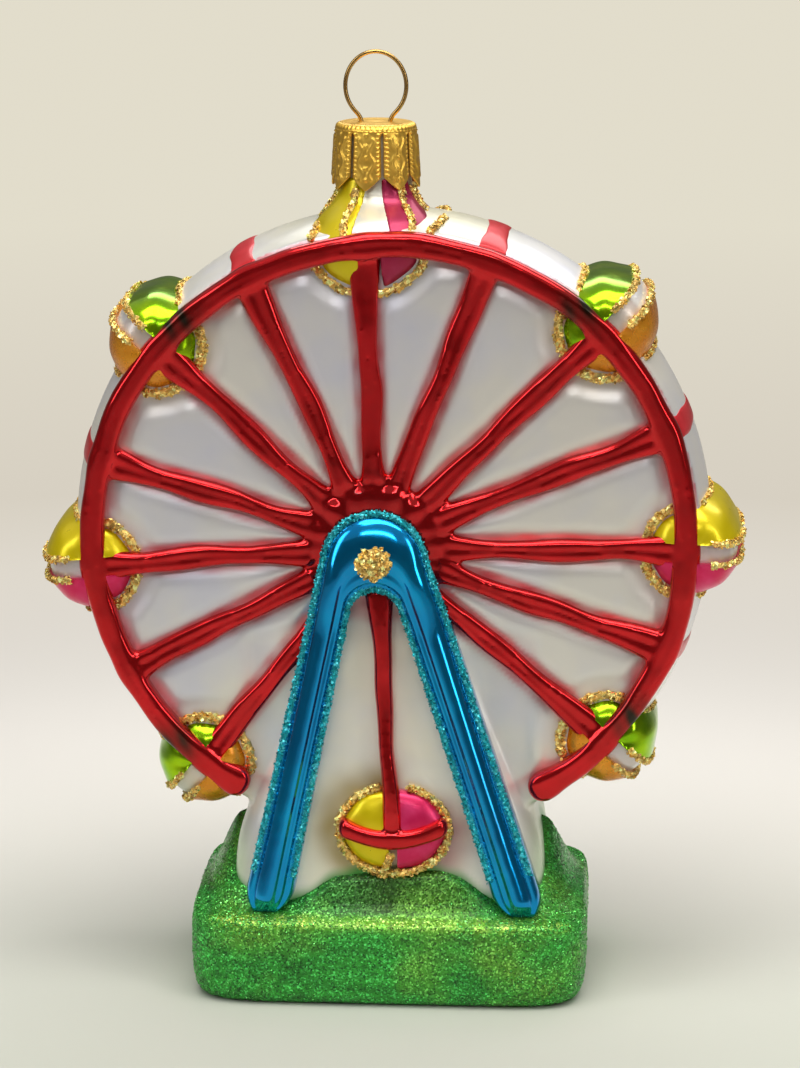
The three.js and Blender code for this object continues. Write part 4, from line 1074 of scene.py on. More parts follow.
def leaned_tube(glass, x, out, up, side_x, side_up, half_width, half_height, power):
    """A superellipse section carried along a line drawn on the leaning front."""
    lean = lean_of(glass)
    path = leaned(glass, x, out, up)
    across = np.stack([side_x, side_up * math.sin(lean), side_up * math.cos(lean)], -1)
    rise = np.tile([0.0, -math.cos(lean), math.sin(lean)], (len(path), 1))
    return tube(path, across, rise, half_width, half_height, power, 22, groove=0.1)


# ---------------------------------------------------------------- legs

def leg_lift(glass, legs, up):
    """How far the A-frame rides up over the hub, by height up the slope."""
    return legs.lift * smooth((up - up_slope(glass, glass.wheel_z - 14)) / 9)


def leg_height(legs, outer_gap, inner_gap, end_gap, width):
    """Height of the A-frame above the leaning front: a flange with rounded edges, then a crown
    that rises across the middle, with a groove nearer its inner side."""
    gap = np.minimum(outer_gap, inner_gap)
    edge = np.clip(np.minimum(gap, end_gap * 0.7) / 0.8, 0, 1)
    flange = legs.flange * np.sqrt(np.clip(1 - (1 - edge) ** 2, 0, 1))
    inside = np.clip((outer_gap - 1.35) / np.clip(width - 2.7, 0.2, None), 0, 1)
    crown = legs.ridge * np.sin(np.pi * inside) ** 0.7
    groove = 0.42 * bump(inside - 0.76, 0.1)
    return flange + (crown - groove) * smooth((gap - 1.1) / 0.6) * smooth((end_gap - 0.5) / 2.5)


def make_legs(context):
    """The blue A-frame on each side: a strip between the outer and the inner edge, with the
    height of the A-frame's section at each share across, closed behind and at the feet."""
    glass, relief, legs = sizes(context, "glass"), sizes(context, "relief"), sizes(context, "legs")
    outer, inner = leg_edges(glass, relief, legs)
    width = np.hypot(*(outer - inner).T)
    step = np.hypot(*np.diff((outer + inner) / 2, axis=0).T)
    along = np.concatenate([[0], np.cumsum(step)])
    ends = end_round(along, along[-1], 4.2)
    from_end = np.minimum(along, along[-1] - along)[:, None]
    share = (1 - np.cos(np.linspace(0, np.pi, 61))) / 2
    share = 0.6 * share + 0.4 * np.linspace(0, 1, 61)
    middle = (outer + inner) / 2
    half = (outer - inner) / 2 * ends[:, None]
    line = middle[:, None, :] + half[:, None, :] * (1 - 2 * share)[None, :, None]
    gap_out, gap_in = width[:, None] * share[None, :], width[:, None] * (1 - share)[None, :]
    rise = leg_height(legs, gap_out, gap_in, from_end, width[:, None])
    rise = rise + leg_lift(glass, legs, line[..., 1]) * (rise > 0)
    front = leaned(glass, line[..., 0], rise, line[..., 1])
    back = leaned(glass, line[..., 0], -1.6 + 0 * rise, line[..., 1])
    loop = np.concatenate([front, back[:, ::-1]], 1)
    made = skin(loop, wrap_columns=True)
    place_both("a_frame_{}", made, blue_finish(context.scene.ornament_colours), "legs_{}")


# ---------------------------------------------------------------- glitter

def flakes(centres, normals, radius, rng, tilt=0.5):
    """Thin irregular five-cornered plates, one for each centre, tipped off its normal at
    random: corner k lies at the centre plus a random share of the radius at turn k, half the
    thickness above or below."""
    count = len(centres)
    normals = normals + rng.normal(0, tilt, (count, 3))
    normals /= np.linalg.norm(normals, axis=1, keepdims=True)
    side = np.cross(normals, rng.normal(0, 1, (count, 3)))
    side /= np.linalg.norm(side, axis=1, keepdims=True)
    other = np.cross(normals, side)
    turn = 2 * np.pi * np.arange(5) / 5
    reach = radius * rng.uniform(0.65, 1.15, (count, 5)) * rng.uniform(0.75, 1.25, (count, 1))
    flat = (
        centres[:, None, :]
        + reach[..., None] * np.cos(turn)[None, :, None] * side[:, None, :]
        + reach[..., None] * np.sin(turn)[None, :, None] * other[:, None, :]
    )
    lift = (FLAKE_SHEET / 2) * normals[:, None, :]
    points = np.concatenate([flat + lift, flat - lift], 1).reshape(-1, 3)
    start = np.arange(count)[:, None] * 10
    ring = np.arange(5)
    top = start + ring[None, :]
    bottom = start + 5 + ring[::-1][None, :]
    nxt = (ring + 1) % 5
    walls = np.stack([ring + 5, nxt + 5, nxt, ring], -1)
    walls = (start[:, :, None] + walls[None]).reshape(-1, 4)
    return points, [top, bottom, walls]


def bead(path, normal, half_width, height):
    """A low rounded bed under a line of flakes: an ellipse carried along the path, its middle
    on the surface."""
    direction = np.gradient(path, axis=0)
    direction /= np.linalg.norm(direction, axis=1, keepdims=True) + 1e-9
    across = np.cross(direction, normal)
    across /= np.linalg.norm(across, axis=1, keepdims=True) + 1e-9
    step = np.linalg.norm(np.diff(path, axis=0), axis=1)
    along = np.concatenate([[0], np.cumsum(step)])
    ends = end_round(along, along[-1], half_width)
    wobble = 1 + 0.18 * np.sin(along * 3.1) * np.sin(along * 1.3 + 1)
    return tube(path, across, normal, half_width * ends * wobble, height * ends, 2.0, 12)


def flakes_along(path, normal, half_width, height, per_area, radius, rng):
    """Flakes strewn over a bead: each sits at a random place along and across the line, on the
    bead's ellipse, and looks along the ellipse's own normal."""
    step = np.linalg.norm(np.diff(path, axis=0), axis=1)
    along = np.concatenate([[0], np.cumsum(step)])
    count = max(4, int(along[-1] * 2 * half_width * per_area))
    place_at = rng.uniform(0, along[-1], count)
    across_at = np.sin(rng.uniform(-1.35, 1.35, count))
    centre = np.stack([np.interp(place_at, along, path[:, k]) for k in range(3)], -1)
    face = np.stack([np.interp(place_at, along, normal[:, k]) for k in range(3)], -1)
    face /= np.linalg.norm(face, axis=1, keepdims=True)
    direction = np.gradient(path, axis=0)
    heading = np.stack([np.interp(place_at, along, direction[:, k]) for k in range(3)], -1)
    heading /= np.linalg.norm(heading, axis=1, keepdims=True) + 1e-9
    side = np.cross(heading, face)
    lift = np.sqrt(1 - across_at ** 2)
    centres = centre + side * (half_width * across_at)[:, None] + face * (height * lift)[:, None]
    outward = face * lift[:, None] + side * (across_at * 0.7)[:, None]
    return flakes(centres, outward, radius, rng)


def glitter_both(name, lines, half_width, height, cover, radius, seed, material, stands_for):
    """A piece of glitter in front and its mirror image behind: a bead under each line and flakes
    strewn over it."""
    rng = np.random.default_rng(seed)
    skins = []
    for path, normal in lines:
        skins.append(bead(path, normal, half_width * 0.85, height * 0.75))
        skins.append(flakes_along(path, normal, half_width, height, cover, radius, rng))
    place_both(name, gathered(skins), material, stands_for, glitter=True)


def face_arc(glass, relief, x, z, radius):
    """The glitter line round a gondola on the wheel's face: the stretch of a circle that lies
    inside the rim."""
    turn = np.linspace(0, 2 * np.pi, 361)
    px, pz = x + radius * np.cos(turn), z + radius * np.sin(turn)
    inside = np.hypot(px, pz - glass.wheel_z) < glass.face_radius - relief.rim_width + 0.3
    first = int(np.argmax(~inside))
    inside, px, pz = (np.roll(v[:-1], -first) for v in (inside, px, pz))
    px, pz = px[inside], pz[inside]
    path = np.stack([px, np.full(len(px), -glass.half_depth - 0.1), pz], -1)
    return path, np.tile([0.0, -1.0, 0.0], (len(path), 1))


def stripe_lines(glass, gondola, g):
    """The glitter lines along both edges of a gondola's white stripe, over the barrel from face
    to face, and along both edges of its lobes where they leave the tread."""
    depth = glass.half_depth + gondola.proud
    outward = math.radians(g.angle)
    away = np.array([math.cos(outward), math.sin(outward)])
    side = np.array([-away[1], away[0]])
    lines = []
    t = np.linspace(-0.93, 0.93, 60) * np.pi / 2
    out = gondola.radius * bent(np.cos(t), gondola.squareness)
    y = depth * bent(np.sin(t), gondola.squareness)
    for hand in (-1, 1):
        a = np.sqrt(np.clip(out ** 2 - gondola.stripe ** 2, 0.01, None))
        keep = a > 2.4
        path = np.stack([
            g.x + a * away[0] + hand * gondola.stripe * side[0], y,
            g.z + a * away[1] + hand * gondola.stripe * side[1]], -1)[keep]
        normal = np.stack([
            np.cos(t) * away[0], np.sin(t), np.cos(t) * away[1]], -1)[keep]
        lines.append((path, normal))
    across = np.linspace(-0.9, 0.9, 50)
    y = across * glass.half_depth
    tread = glass.face_radius + glass.tread_bulge * (1 - across ** 2) + 0.1
    middle = glass.face_radius - gondola.inset
    share = np.clip(np.abs(y) / depth, 0, 1)
    barrel = gondola.radius * (1 - share ** gondola.squareness) ** (1 / gondola.squareness)
    cos_turn = (tread ** 2 + middle ** 2 - barrel ** 2) / (2 * tread * middle)
    turn = np.arccos(np.clip(cos_turn, -1, 1))
    for hand in (-1, 1):
        at = outward + hand * turn
        path = np.stack([tread * np.cos(at), y, glass.wheel_z + tread * np.sin(at)], -1)
        normal = np.stack([np.cos(at), 0 * at, np.sin(at)], -1)
        lines.append((path, normal))
    return lines


def halves(lines, front):
    """The front or the back half of each line."""
    kept = []
    for path, normal in lines:
        keep = path[:, 1] <= 0.05 if front else path[:, 1] >= -0.05
        kept.append((path[keep], normal[keep]))
    return kept


def make_gold_glitter(context):
    """Gold glitter round every gondola, over its stripe and lobes, and the dot on the hub."""
    glass, relief, legs = sizes(context, "glass"), sizes(context, "relief"), sizes(context, "legs")
    gondola, glitter, cap = sizes(context, "gondolas"), sizes(context, "glitter"), sizes(context, "cap")
    gold = glitter_finish("gold glitter", context.scene.ornament_colours.gold[:], 90, 0.28)
    rng = np.random.default_rng(glitter.seed)
    ring = gondola.radius * face_share(glass, gondola) + GLITTER_RING
    for g in gondola_places(glass, gondola):
        arc = face_arc(glass, relief, g.x, g.z, ring)
        over = stripe_lines(glass, gondola, g)
        for end in ("front", "back"):
            lines = halves(over, end == "front")
            skins = []
            own = arc if end == "front" else (arc[0] * [1, -1, 1], arc[1] * [1, -1, 1])
            skins += [bead(*own, 0.62, 0.42),
                      flakes_along(*own, 0.75, 0.62, glitter.gold_share, glitter.gold, rng)]
            for path, normal in lines:
                skins += [bead(path, normal, 0.42, 0.3),
                          flakes_along(path, normal, 0.55, 0.42, glitter.gold_share, glitter.gold, rng)]
            mesh = mesh_of(f"glitter_{g.name}_{end}", gathered(skins))
            place(f"glitter_{g.name}_{end}", mesh, "glass", gold,
                  [f"gondola_{g.name}_glitter_{end}"], smooth_shading=False)

    top_z = glass.wheel_z + glass.face_radius
    ring = gondola.top_radius * face_share(glass, gondola) + GLITTER_RING
    lines = [face_arc(glass, relief, gondola.top_x, top_z, ring)]
    for side in (-1, 1):
        v = np.linspace(0.12, 0.9, 30)
        for u, lift in (((0.62 - 0.55 * v) if side > 0 else 0.3 - 0.3 * v, 1.0), (1.0 + 0 * v, 0.6)):
            path = lobe_point(glass, cap, side, u, v, lift)
            normal = path - [cap.centre_x, 0, 0]
            normal[:, 2] = 3
            lines.append((path, normal / np.linalg.norm(normal, axis=1, keepdims=True)))
    for x_back, x_front in ((-9.6, -10.9), (7.6, 5.6)):
        share = np.linspace(0, 1, 24)
        x, y = x_back + (x_front - x_back) * share, -3.5 - 7.4 * share
        tread = glass.face_radius + glass.tread_bulge * (1 - (y / glass.half_depth) ** 2)
        z = glass.wheel_z + np.sqrt(tread ** 2 - x ** 2)
        lines.append((np.stack([x, y, z], -1), np.tile([0.0, -0.25, 0.97], (24, 1))))
    glitter_both("glitter_top_{}", lines, 0.6, 0.5, glitter.gold_share, glitter.gold, glitter.seed + 5, gold,
                 "gondola_top_glitter_{}")

    centre_up = up_slope(glass, gondola.bottom_z)
    turn = np.linspace(0, 2 * np.pi, 200) + np.pi / 2 + 0.22
    turn = turn[:186]
    reach = gondola.bottom_radius + 0.5
    out_at = 0.35 + 0.8 * smooth(-0.4 - np.sin(turn))
    path = leaned(glass, gondola.bottom_x + reach * np.cos(turn), out_at,
                  centre_up + 0.8 + 0.8 * reach * np.sin(turn))
    lean = lean_of(glass)
    out = np.array([0, -math.cos(lean), math.sin(lean)])
    ring_line = (path, np.tile(out, (len(path), 1)))
    down = np.linspace(0, 1, 20)
    slip = leaned(glass, gondola.bottom_x - 0.2 - 1.6 * down, 2.3 - 1.4 * down ** 2,
                  centre_up - 2.2 - 4 * down)
    glitter_both("glitter_bottom_{}", [ring_line, (slip, np.tile(out, (20, 1)))], 0.62, 0.75,
                 glitter.gold_share, glitter.gold, glitter.seed + 9, gold,
                 "gondola_bottom_glitter_{}")

    rng = np.random.default_rng(glitter.seed + 11)
    hub_x, hub_z = hub_place(glass, relief)
    up = up_slope(glass, hub_z - 2)
    seat = legs.flange + legs.ridge + leg_lift(glass, legs, up) - 0.3
    count = 230
    r = DOT_RADIUS * np.sqrt(rng.uniform(0, 1, count))
    a = rng.uniform(0, 2 * np.pi, count)
    high = seat + 0.15 + 0.95 * np.sqrt(np.clip(1 - (r / 2.6) ** 2, 0, 1))
    centres = leaned(glass, hub_x + r * np.cos(a), high, up + r * np.sin(a))
    normals = out[None] + np.stack([0.3 * r * np.cos(a) / 2.6, 0 * a, 0.3 * r * np.sin(a) / 2.6], -1)
    v = np.linspace(0, np.pi / 2, 10)[:, None]
    u = full_turn(32)[None, :]
    bed = leaned(glass, hub_x + DOT_RADIUS * np.cos(v) * np.cos(u), seat - 0.4 + 1.3 * np.sin(v) + 0 * u,
                 up + DOT_RADIUS * np.cos(v) * np.sin(u))
    floor_ring = np.repeat(bed[:1].mean(1, keepdims=True), bed.shape[1], 1)
    dome = skin(np.concatenate([floor_ring, bed]), wrap_columns=True)
    made = gathered([dome, flakes(centres, normals, glitter.gold * 1.15, rng)])
    place_both("glitter_dot_{}", made, gold, "hub_glitter_dot_{}", glitter=True)


def make_teal_glitter(context):
    """Teal flakes strewn along the A-frame's outer and inner flanges."""
    glass, relief, legs = sizes(context, "glass"), sizes(context, "relief"), sizes(context, "legs")
    glitter = sizes(context, "glitter")
    teal = glitter_finish("teal glitter", context.scene.ornament_colours.teal[:], 140, 0.3)
    outer, inner = leg_edges(glass, relief, legs)
    lean = lean_of(glass)
    out = np.array([0, -math.cos(lean), math.sin(lean)])
    width = np.hypot(*(outer - inner).T)
    for which, edge, other, seed in (
        ("outer", outer, inner, glitter.seed + 1), ("inner", inner, outer, glitter.seed + 2),
    ):
        toward = (other - edge) / width[:, None]
        line = edge + toward * 0.62
        line = line[TEAL_TRIM:-TEAL_TRIM]
        path = leaned(glass, line[:, 0], legs.flange - 0.25 + leg_lift(glass, legs, line[:, 1]), line[:, 1])
        normal = np.tile(out, (len(path), 1))
        glitter_both(f"glitter_legs_{which}_{{}}", [(path, normal)], 0.56, 0.48, glitter.teal_share,
                     glitter.teal, seed, teal, f"legs_glitter_{which}_{{}}")


# ---------------------------------------------------------------- base

def hills(x, y):
    """How far the green climbs the pedestal: a flat-topped mound in front of its middle, which
    falls with the fourth power of the way aside, and a bell at each end. Both are next to
    nothing at its corners, where the A-frame's feet stand."""
    mound = 5.3 * np.exp(-((x - 1.5) / 11.5) ** 4) - 0.9 * bump(x - 0.5, 5)
    front = mound * smooth((np.abs(y) - 6) / 6)
    ends = 8.8 * bump(y, 9.5) * smooth((np.abs(x) - 14) / 6)
    return front, ends


def make_base(context):
    """The green base: superellipse rings stacked after a table, rising in a low hill round the
    pedestal, closed below, and loose flakes strewn over it."""
    base, glitter, gondola = sizes(context, "base"), sizes(context, "glitter"), sizes(context, "gondolas")
    colours = context.scene.ornament_colours
    shares = np.array(BASE_SECTIONS)
    start = np.linspace(0, 1, len(shares))
    even = np.linspace(0, 1, 100)
    height, width, depth = (np.interp(even, start, shares[:, k]) for k in range(3))
    for row in (height, width, depth):
        row[1:-1] = (row[:-2] + 2 * row[1:-1] + row[2:]) / 4
    turn = full_turn(260)
    ring_x, ring_y = bent(np.cos(turn), base.squareness), bent(np.sin(turn), base.squareness)
    points = spots(
        base.half_width * width[:, None] * ring_x,
        base.half_depth * depth[:, None] * ring_y,
        base.shoulder * height[:, None]).copy()
    x, y = points[..., 0], points[..., 1]
    climb = smooth((height[:, None] - 0.965) / 0.1)
    side_climb = 0.16 * smooth((height[:, None] - 0.86) / 0.12)
    side_climb = side_climb + 0.84 * smooth((0.975 - width[:, None]) / 0.19)
    front, ends = hills(x, y)
    points[..., 2] += np.maximum(climb * front, side_climb * ends)
    points[..., 2] += 0.3 * climb * np.sin(x * 0.55 + 1) * np.sin(y * 0.4)
    low, high = points[:1].copy(), points[-1:].copy()
    low[..., :2] = 0
    high[..., :2] = 0
    made = skin(np.concatenate([low, points, high]), wrap_columns=True)
    mesh = mesh_of("base", made)
    outwards(mesh)
    place("base_glitter_glass", mesh, "glass", base_finish(), ["base_glass"])
    at = points_of(mesh)
    # Painted highlight: a lime sheen along the top edge of the block's front and back.
    edge = bump(at[:, 2] - base.shoulder + 0.45, 0.8)
    edge *= smooth((np.abs(at[:, 1]) - base.half_depth + 3.5) / 1.5)
    edge *= 0.6 + 0.4 * np.sin(at[:, 0] * 1.1 + 2 * np.sin(at[:, 0] * 0.43))
    olive = bump(at[:, 0] - gondola.bottom_x, 12) * smooth((at[:, 2] - base.shoulder + 0.2) / 1.2)
    olive *= smooth((np.abs(at[:, 1]) - 8) / 4)
    green = np.array(colours.base_green[:])
    mottle = np.sin(at[:, 0] * 1.7 + at[:, 2] * 0.8 + 2 * np.sin(at[:, 2] * 1.1))
    mottle *= np.sin(at[:, 2] * 1.9 - at[:, 0] * 0.9 + 3 * np.sin(at[:, 0] * 0.7))
    tint = green * (1 + 0.45 * mottle)[:, None]
    # The painted lime highlight on the edge, then olive on the mound.
    tint = tint + (np.array([0.42, 0.85, 0.07]) - tint) * (0.85 * edge)[:, None]
    tint = tint + (np.array([0.035, 0.09, 0.01]) - tint) * (0.9 * olive)[:, None]
    paint(mesh, "paint", tint)

    rng = np.random.default_rng(glitter.seed + 21)
    count = glitter.green_count
    rows, columns = points.shape[:2]
    r = rng.uniform(6, rows - 2, count)
    c = rng.integers(0, columns, count)
    r0 = r.astype(int)
    here, right, up = points[r0, c], points[r0, (c + 1) % columns], points[r0 + 1, c]
    normals = np.cross(right - here, up - here)
    normals /= np.linalg.norm(normals, axis=1, keepdims=True) + 1e-9
    centres = here + (up - here) * (r - r0)[:, None] + (right - here) * rng.uniform(0, 1, count)[:, None]
    made = flakes(centres + normals * 0.03, normals, glitter.green, rng, tilt=0.35)
    mesh = mesh_of("base_flakes", made)
    flake = glitter_finish("green glitter", (0.09, 0.5, 0.08), 170, 0.2)
    place("base_flakes", mesh, "glass", flake, smooth_shading=False)


# ---------------------------------------------------------------- cap and hanger

def make_cap(context):
    """The pressed crown cap: a sheet over turn and height whose columns part at eight slits,
    with pointed fingers and pressed beads, thickened to the sheet."""
    cap = sizes(context, "cap")
    colours = context.scene.ornament_colours
    total = cap.top_z - cap.foot_z
    pitch = 2 * np.pi / 8
    slit_top = cap.top_z - 1.0
    skins = []
    flat_edge = cap.top_radius - 1.05
    for finger in range(8):
        middle = math.radians(-90) + cap.turn + (finger + 0.5) * pitch
        s = np.linspace(-1, 1, 37)[None, :]
        v = np.linspace(0, 1, 64)[:, None]
        foot = cap.foot_z + cap.tip * np.abs(s) ** 1.15
        z = slit_top + (foot - slit_top) * v
        share = (cap.top_z - z) / total
        radius = cap.top_radius + (cap.rim_radius - cap.top_radius) * share
        opening = cap.slit / 2 / radius * smooth((slit_top - z) / 0.6)
        turn = middle + s * (pitch / 2 - opening)
        inner = 1 - np.abs(s)
        edge_beads = bump(np.abs(s) - 0.8, 0.1) * (0.5 + 0.5 * np.cos(2 * np.pi * z / 0.62)) ** 1.5
        scroll = bump(np.abs(s) - 0.34 - 0.16 * np.sin(2 * np.pi * (z - cap.foot_z) / 3.1), 0.11)
        scroll *= smooth((slit_top - 0.5 - z) / 0.4) * smooth((z - foot - 0.5) / 0.5)
        dots = bump(s, 0.12) * (0.5 + 0.5 * np.cos(2 * np.pi * (z - cap.foot_z) / 1.55)) ** 3
        dots = dots * smooth((z - foot - 0.4) / 0.5)
        press = 0.2 * edge_beads * smooth((z - foot - 0.15) / 0.3) + 0.16 * scroll + 0.2 * dots
        border = -0.12 * bump(inner, 0.07)
        convex = 0.32 * (np.cos(s * np.pi / 2) - 0.55)
        radius = radius + press + border + convex * smooth(v * 6)
        skirt = spots(
            cap.centre_x + radius * np.cos(turn), radius * np.sin(turn), z)
        w = np.linspace(0, 1, 14)[:, None]
        collar_z = cap.top_z - 0.75 + (slit_top - cap.top_z + 0.75) * w
        collar_share = (cap.top_z - collar_z) / total
        collar_r = cap.top_radius + (cap.rim_radius - cap.top_radius) * collar_share
        collar_r = collar_r - 0.12 * bump(np.abs(s) - 1, 0.25) * w + 0.1 * (
            0.5 + 0.5 * np.cos(2 * np.pi * s * 3.5)) * bump(w - 0.35, 0.25)
        full = middle + s * (pitch / 2)
        collar = spots(
            cap.centre_x + collar_r * np.cos(full), collar_r * np.sin(full), collar_z)
        e = np.linspace(0, 1, 10)[:, None]
        edge_r = flat_edge + (cap.top_radius + 0.045 - flat_edge) * np.sin(e * np.pi / 2)
        edge_r = edge_r + 0.1 * np.cos(2 * np.pi * s * 3) * np.sin(e * np.pi) ** 2
        edge_z = cap.top_z - 0.75 * (1 - np.cos(e * np.pi / 2))
        rounded = spots(
            cap.centre_x + edge_r * np.cos(full), edge_r * np.sin(full), edge_z)
        d = np.linspace(0, 1, 16)[:, None]
        disc_r = flat_edge * d
        disc_z = cap.top_z - 0.18 * bump(disc_r, 1.3) - 0.06 * bump(disc_r - 3.4, 0.5)
        disc = spots(
            cap.centre_x + disc_r * np.cos(full), disc_r * np.sin(full), disc_z)
        skins.append(skin(np.concatenate([disc, rounded[1:], collar[1:], skirt[1:]])))
    mesh = mesh_of("cap", gathered(skins))
    upwards(mesh, 8e-6, lambda faces: max(faces, key=lambda f: f.calc_center_median().z))
    piece = place("crown_cap", mesh, "cap", cap_finish(colours), ["cap"])
    thick = piece.modifiers.new("sheet", "SOLIDIFY")
    thick.thickness, thick.offset = cap.sheet * MM, -1
    thick.use_even_offset = False
    finished(piece)


def make_hanger(context):
    """The wire hanger: a round section carried up the right prong, round the open ring and down
    the left prong, along a smooth line through the ring's ellipse and the prongs' bow."""
    cap = sizes(context, "cap")
    colours = context.scene.ornament_colours
    centre_z = cap.top_z + RING_SEAT + cap.ring_height
    turn = np.linspace(math.radians(-60), math.radians(240), 160)
    ring = np.stack([cap.ring_width * np.cos(turn), centre_z + cap.ring_height * np.sin(turn)], -1)
    down = np.array([
        [1.8, 1.35], [1.8, 3.2], [1.8, 5.5], [1.8, 7.7], [2.2, 9.2], [2.85, 10.8], [3.38, 12], [3.53, 12.8],
        [3.4, 13.8], [3.1, 15.2], [2.7, 16.6], [2.4, 17.5],
    ])
    prong = np.stack([down[:, 0], cap.top_z - down[:, 1]], -1)
    bend = np.stack([
        np.linspace(prong[0, 0], ring[0, 0], 6)[1:-1],
        np.linspace(prong[0, 1], ring[0, 1], 6)[1:-1]], -1)
    right = np.concatenate([prong[::-1], bend])
    line = np.concatenate([right, ring, (right * [-1, 1])[::-1]])
    step = np.hypot(*np.diff(line, axis=0).T)
    along = np.concatenate([[0], np.cumsum(step)])
    even = np.linspace(0, along[-1], 420)
    line = np.stack([np.interp(even, along, line[:, k]) for k in range(2)], -1)
    for _ in range(30):
        line[1:-1] = (line[:-2] + 2 * line[1:-1] + line[2:]) / 4
    direction = np.gradient(line, axis=0)
    direction /= np.linalg.norm(direction, axis=1, keepdims=True)
    path = np.stack([cap.centre_x + line[:, 0], 0 * line[:, 0], line[:, 1]], -1)
    across = np.stack([-direction[:, 1], 0 * line[:, 0], direction[:, 0]], -1)
    up = np.tile([0.0, 1.0, 0.0], (len(path), 1))
    ends = end_round(even, even[-1], cap.wire)
    mesh = mesh_of("hanger", tube(path, across, up, cap.wire * ends, cap.wire * ends, 2.0, 16))
    outwards(mesh)
    place("wire_hanger", mesh, "hanger", wire_finish(colours), ["hanger"])


# ---------------------------------------------------------------- finishes

def node(tree, kind, **values):
    """A node of a kind, with its settings and the plain values of its named inputs."""
    made = tree.nodes.new(kind)
    for key, value in values.items():
        if key.startswith("in_"):
            made.inputs[key[3:].replace("_", " ")].default_value = value
        else:
            setattr(made, key, value)
    return made


def fresh(name):
    """An empty material with one Principled shader, and its tree."""
    material = bpy.data.materials.new(name)
    material.use_nodes = True
    tree = material.node_tree
    tree.nodes.clear()
    shader = tree.nodes.new("ShaderNodeBsdfPrincipled")
    out = tree.nodes.new("ShaderNodeOutputMaterial")
    tree.links.new(shader.outputs["BSDF"], out.inputs["Surface"])
    return material, tree, shader


# A colour mix node's sockets: its two colours and its result
FIRST, SECOND, MIXED = 6, 7, 2


def colour_mix(tree, **values):
    """A node that mixes two colours."""
    return node(tree, "ShaderNodeMix", data_type="RGBA", **values)


def shared_group(name, inputs):
    """A shader node group with the given inputs, which gives a colour, a roughness and a normal."""
    tree = bpy.data.node_groups.new(name, "ShaderNodeTree")
    for label, value in inputs.items():
        kind = "NodeSocketColor" if isinstance(value, tuple) else "NodeSocketFloat"
        tree.interface.new_socket(label, in_out="INPUT", socket_type=kind).default_value = value
    for label, kind in (("Colour", "Color"), ("Roughness", "Float"), ("Normal", "Vector")):
        tree.interface.new_socket(label, in_out="OUTPUT", socket_type="NodeSocket" + kind)
    return tree, tree.nodes.new("NodeGroupInput"), tree.nodes.new("NodeGroupOutput")


def grouped(name, group, look_values, shader_values):
    """A material whose shader takes its colour, roughness and normal from a shared group."""
    material, tree, shader = fresh(name)
    look = node(tree, "ShaderNodeGroup", node_tree=group)
    for key, value in look_values.items():
        look.inputs[key].default_value = value
    for given, taken in (("Colour", "Base Color"), ("Roughness", "Roughness"), ("Normal", "Normal")):
        tree.links.new(look.outputs[given], shader.inputs[taken])
    for key, value in shader_values.items():
        shader.inputs[key].default_value = value
    return material, tree, look


def blown_glass_group():
    """Shared look of lacquer over blown glass: slow thick and thin patches in the colour, a
    little unevenness in the gloss and long soft ripples in the skin."""
    held = bpy.data.node_groups.get("Blown lacquer")
    if held:
        return held
    tree, inside, outside = shared_group("Blown lacquer", {
        "Colour": (0.8, 0.8, 0.8, 1), "Thin colour": (1, 1, 1, 1), "Patch size": 140.0,
        "Patch strength": 0.4, "Roughness": 0.1, "Ripple": 0.2,
    })
    where = tree.nodes.new("ShaderNodeTexCoord")
    patch = node(tree, "ShaderNodeTexNoise", in_Detail=3.0, in_Roughness=0.55)
    ripple = node(tree, "ShaderNodeTexNoise", in_Scale=210.0, in_Detail=1.0)
    fine = node(tree, "ShaderNodeTexNoise", in_Scale=900.0, in_Detail=2.0)
    link = tree.links.new
    for texture in (patch, ripple, fine):
        link(where.outputs["Object"], texture.inputs["Vector"])
    link(inside.outputs["Patch size"], patch.inputs["Scale"])
    spread = node(tree, "ShaderNodeMapRange", in_From_Min=0.42, in_From_Max=0.72)
    link(patch.outputs["Fac"], spread.inputs["Value"])
    strength = node(tree, "ShaderNodeMath", operation="MULTIPLY")
    link(spread.outputs["Result"], strength.inputs[0])
    link(inside.outputs["Patch strength"], strength.inputs[1])
    mix = colour_mix(tree)
    link(strength.outputs[0], mix.inputs["Factor"])
    link(inside.outputs["Colour"], mix.inputs[FIRST])
    link(inside.outputs["Thin colour"], mix.inputs[SECOND])
    link(mix.outputs[MIXED], outside.inputs["Colour"])
    wear = node(tree, "ShaderNodeMapRange", in_To_Min=-0.03, in_To_Max=0.06)
    link(fine.outputs["Fac"], wear.inputs["Value"])
    rough = node(tree, "ShaderNodeMath", operation="ADD")
    link(wear.outputs["Result"], rough.inputs[0])
    link(inside.outputs["Roughness"], rough.inputs[1])
    link(rough.outputs[0], outside.inputs["Roughness"])
    lift = node(tree, "ShaderNodeBump", in_Distance=0.0006)
    link(inside.outputs["Ripple"], lift.inputs["Strength"])
    link(ripple.outputs["Fac"], lift.inputs["Height"])
    link(lift.outputs["Normal"], outside.inputs["Normal"])
    return tree


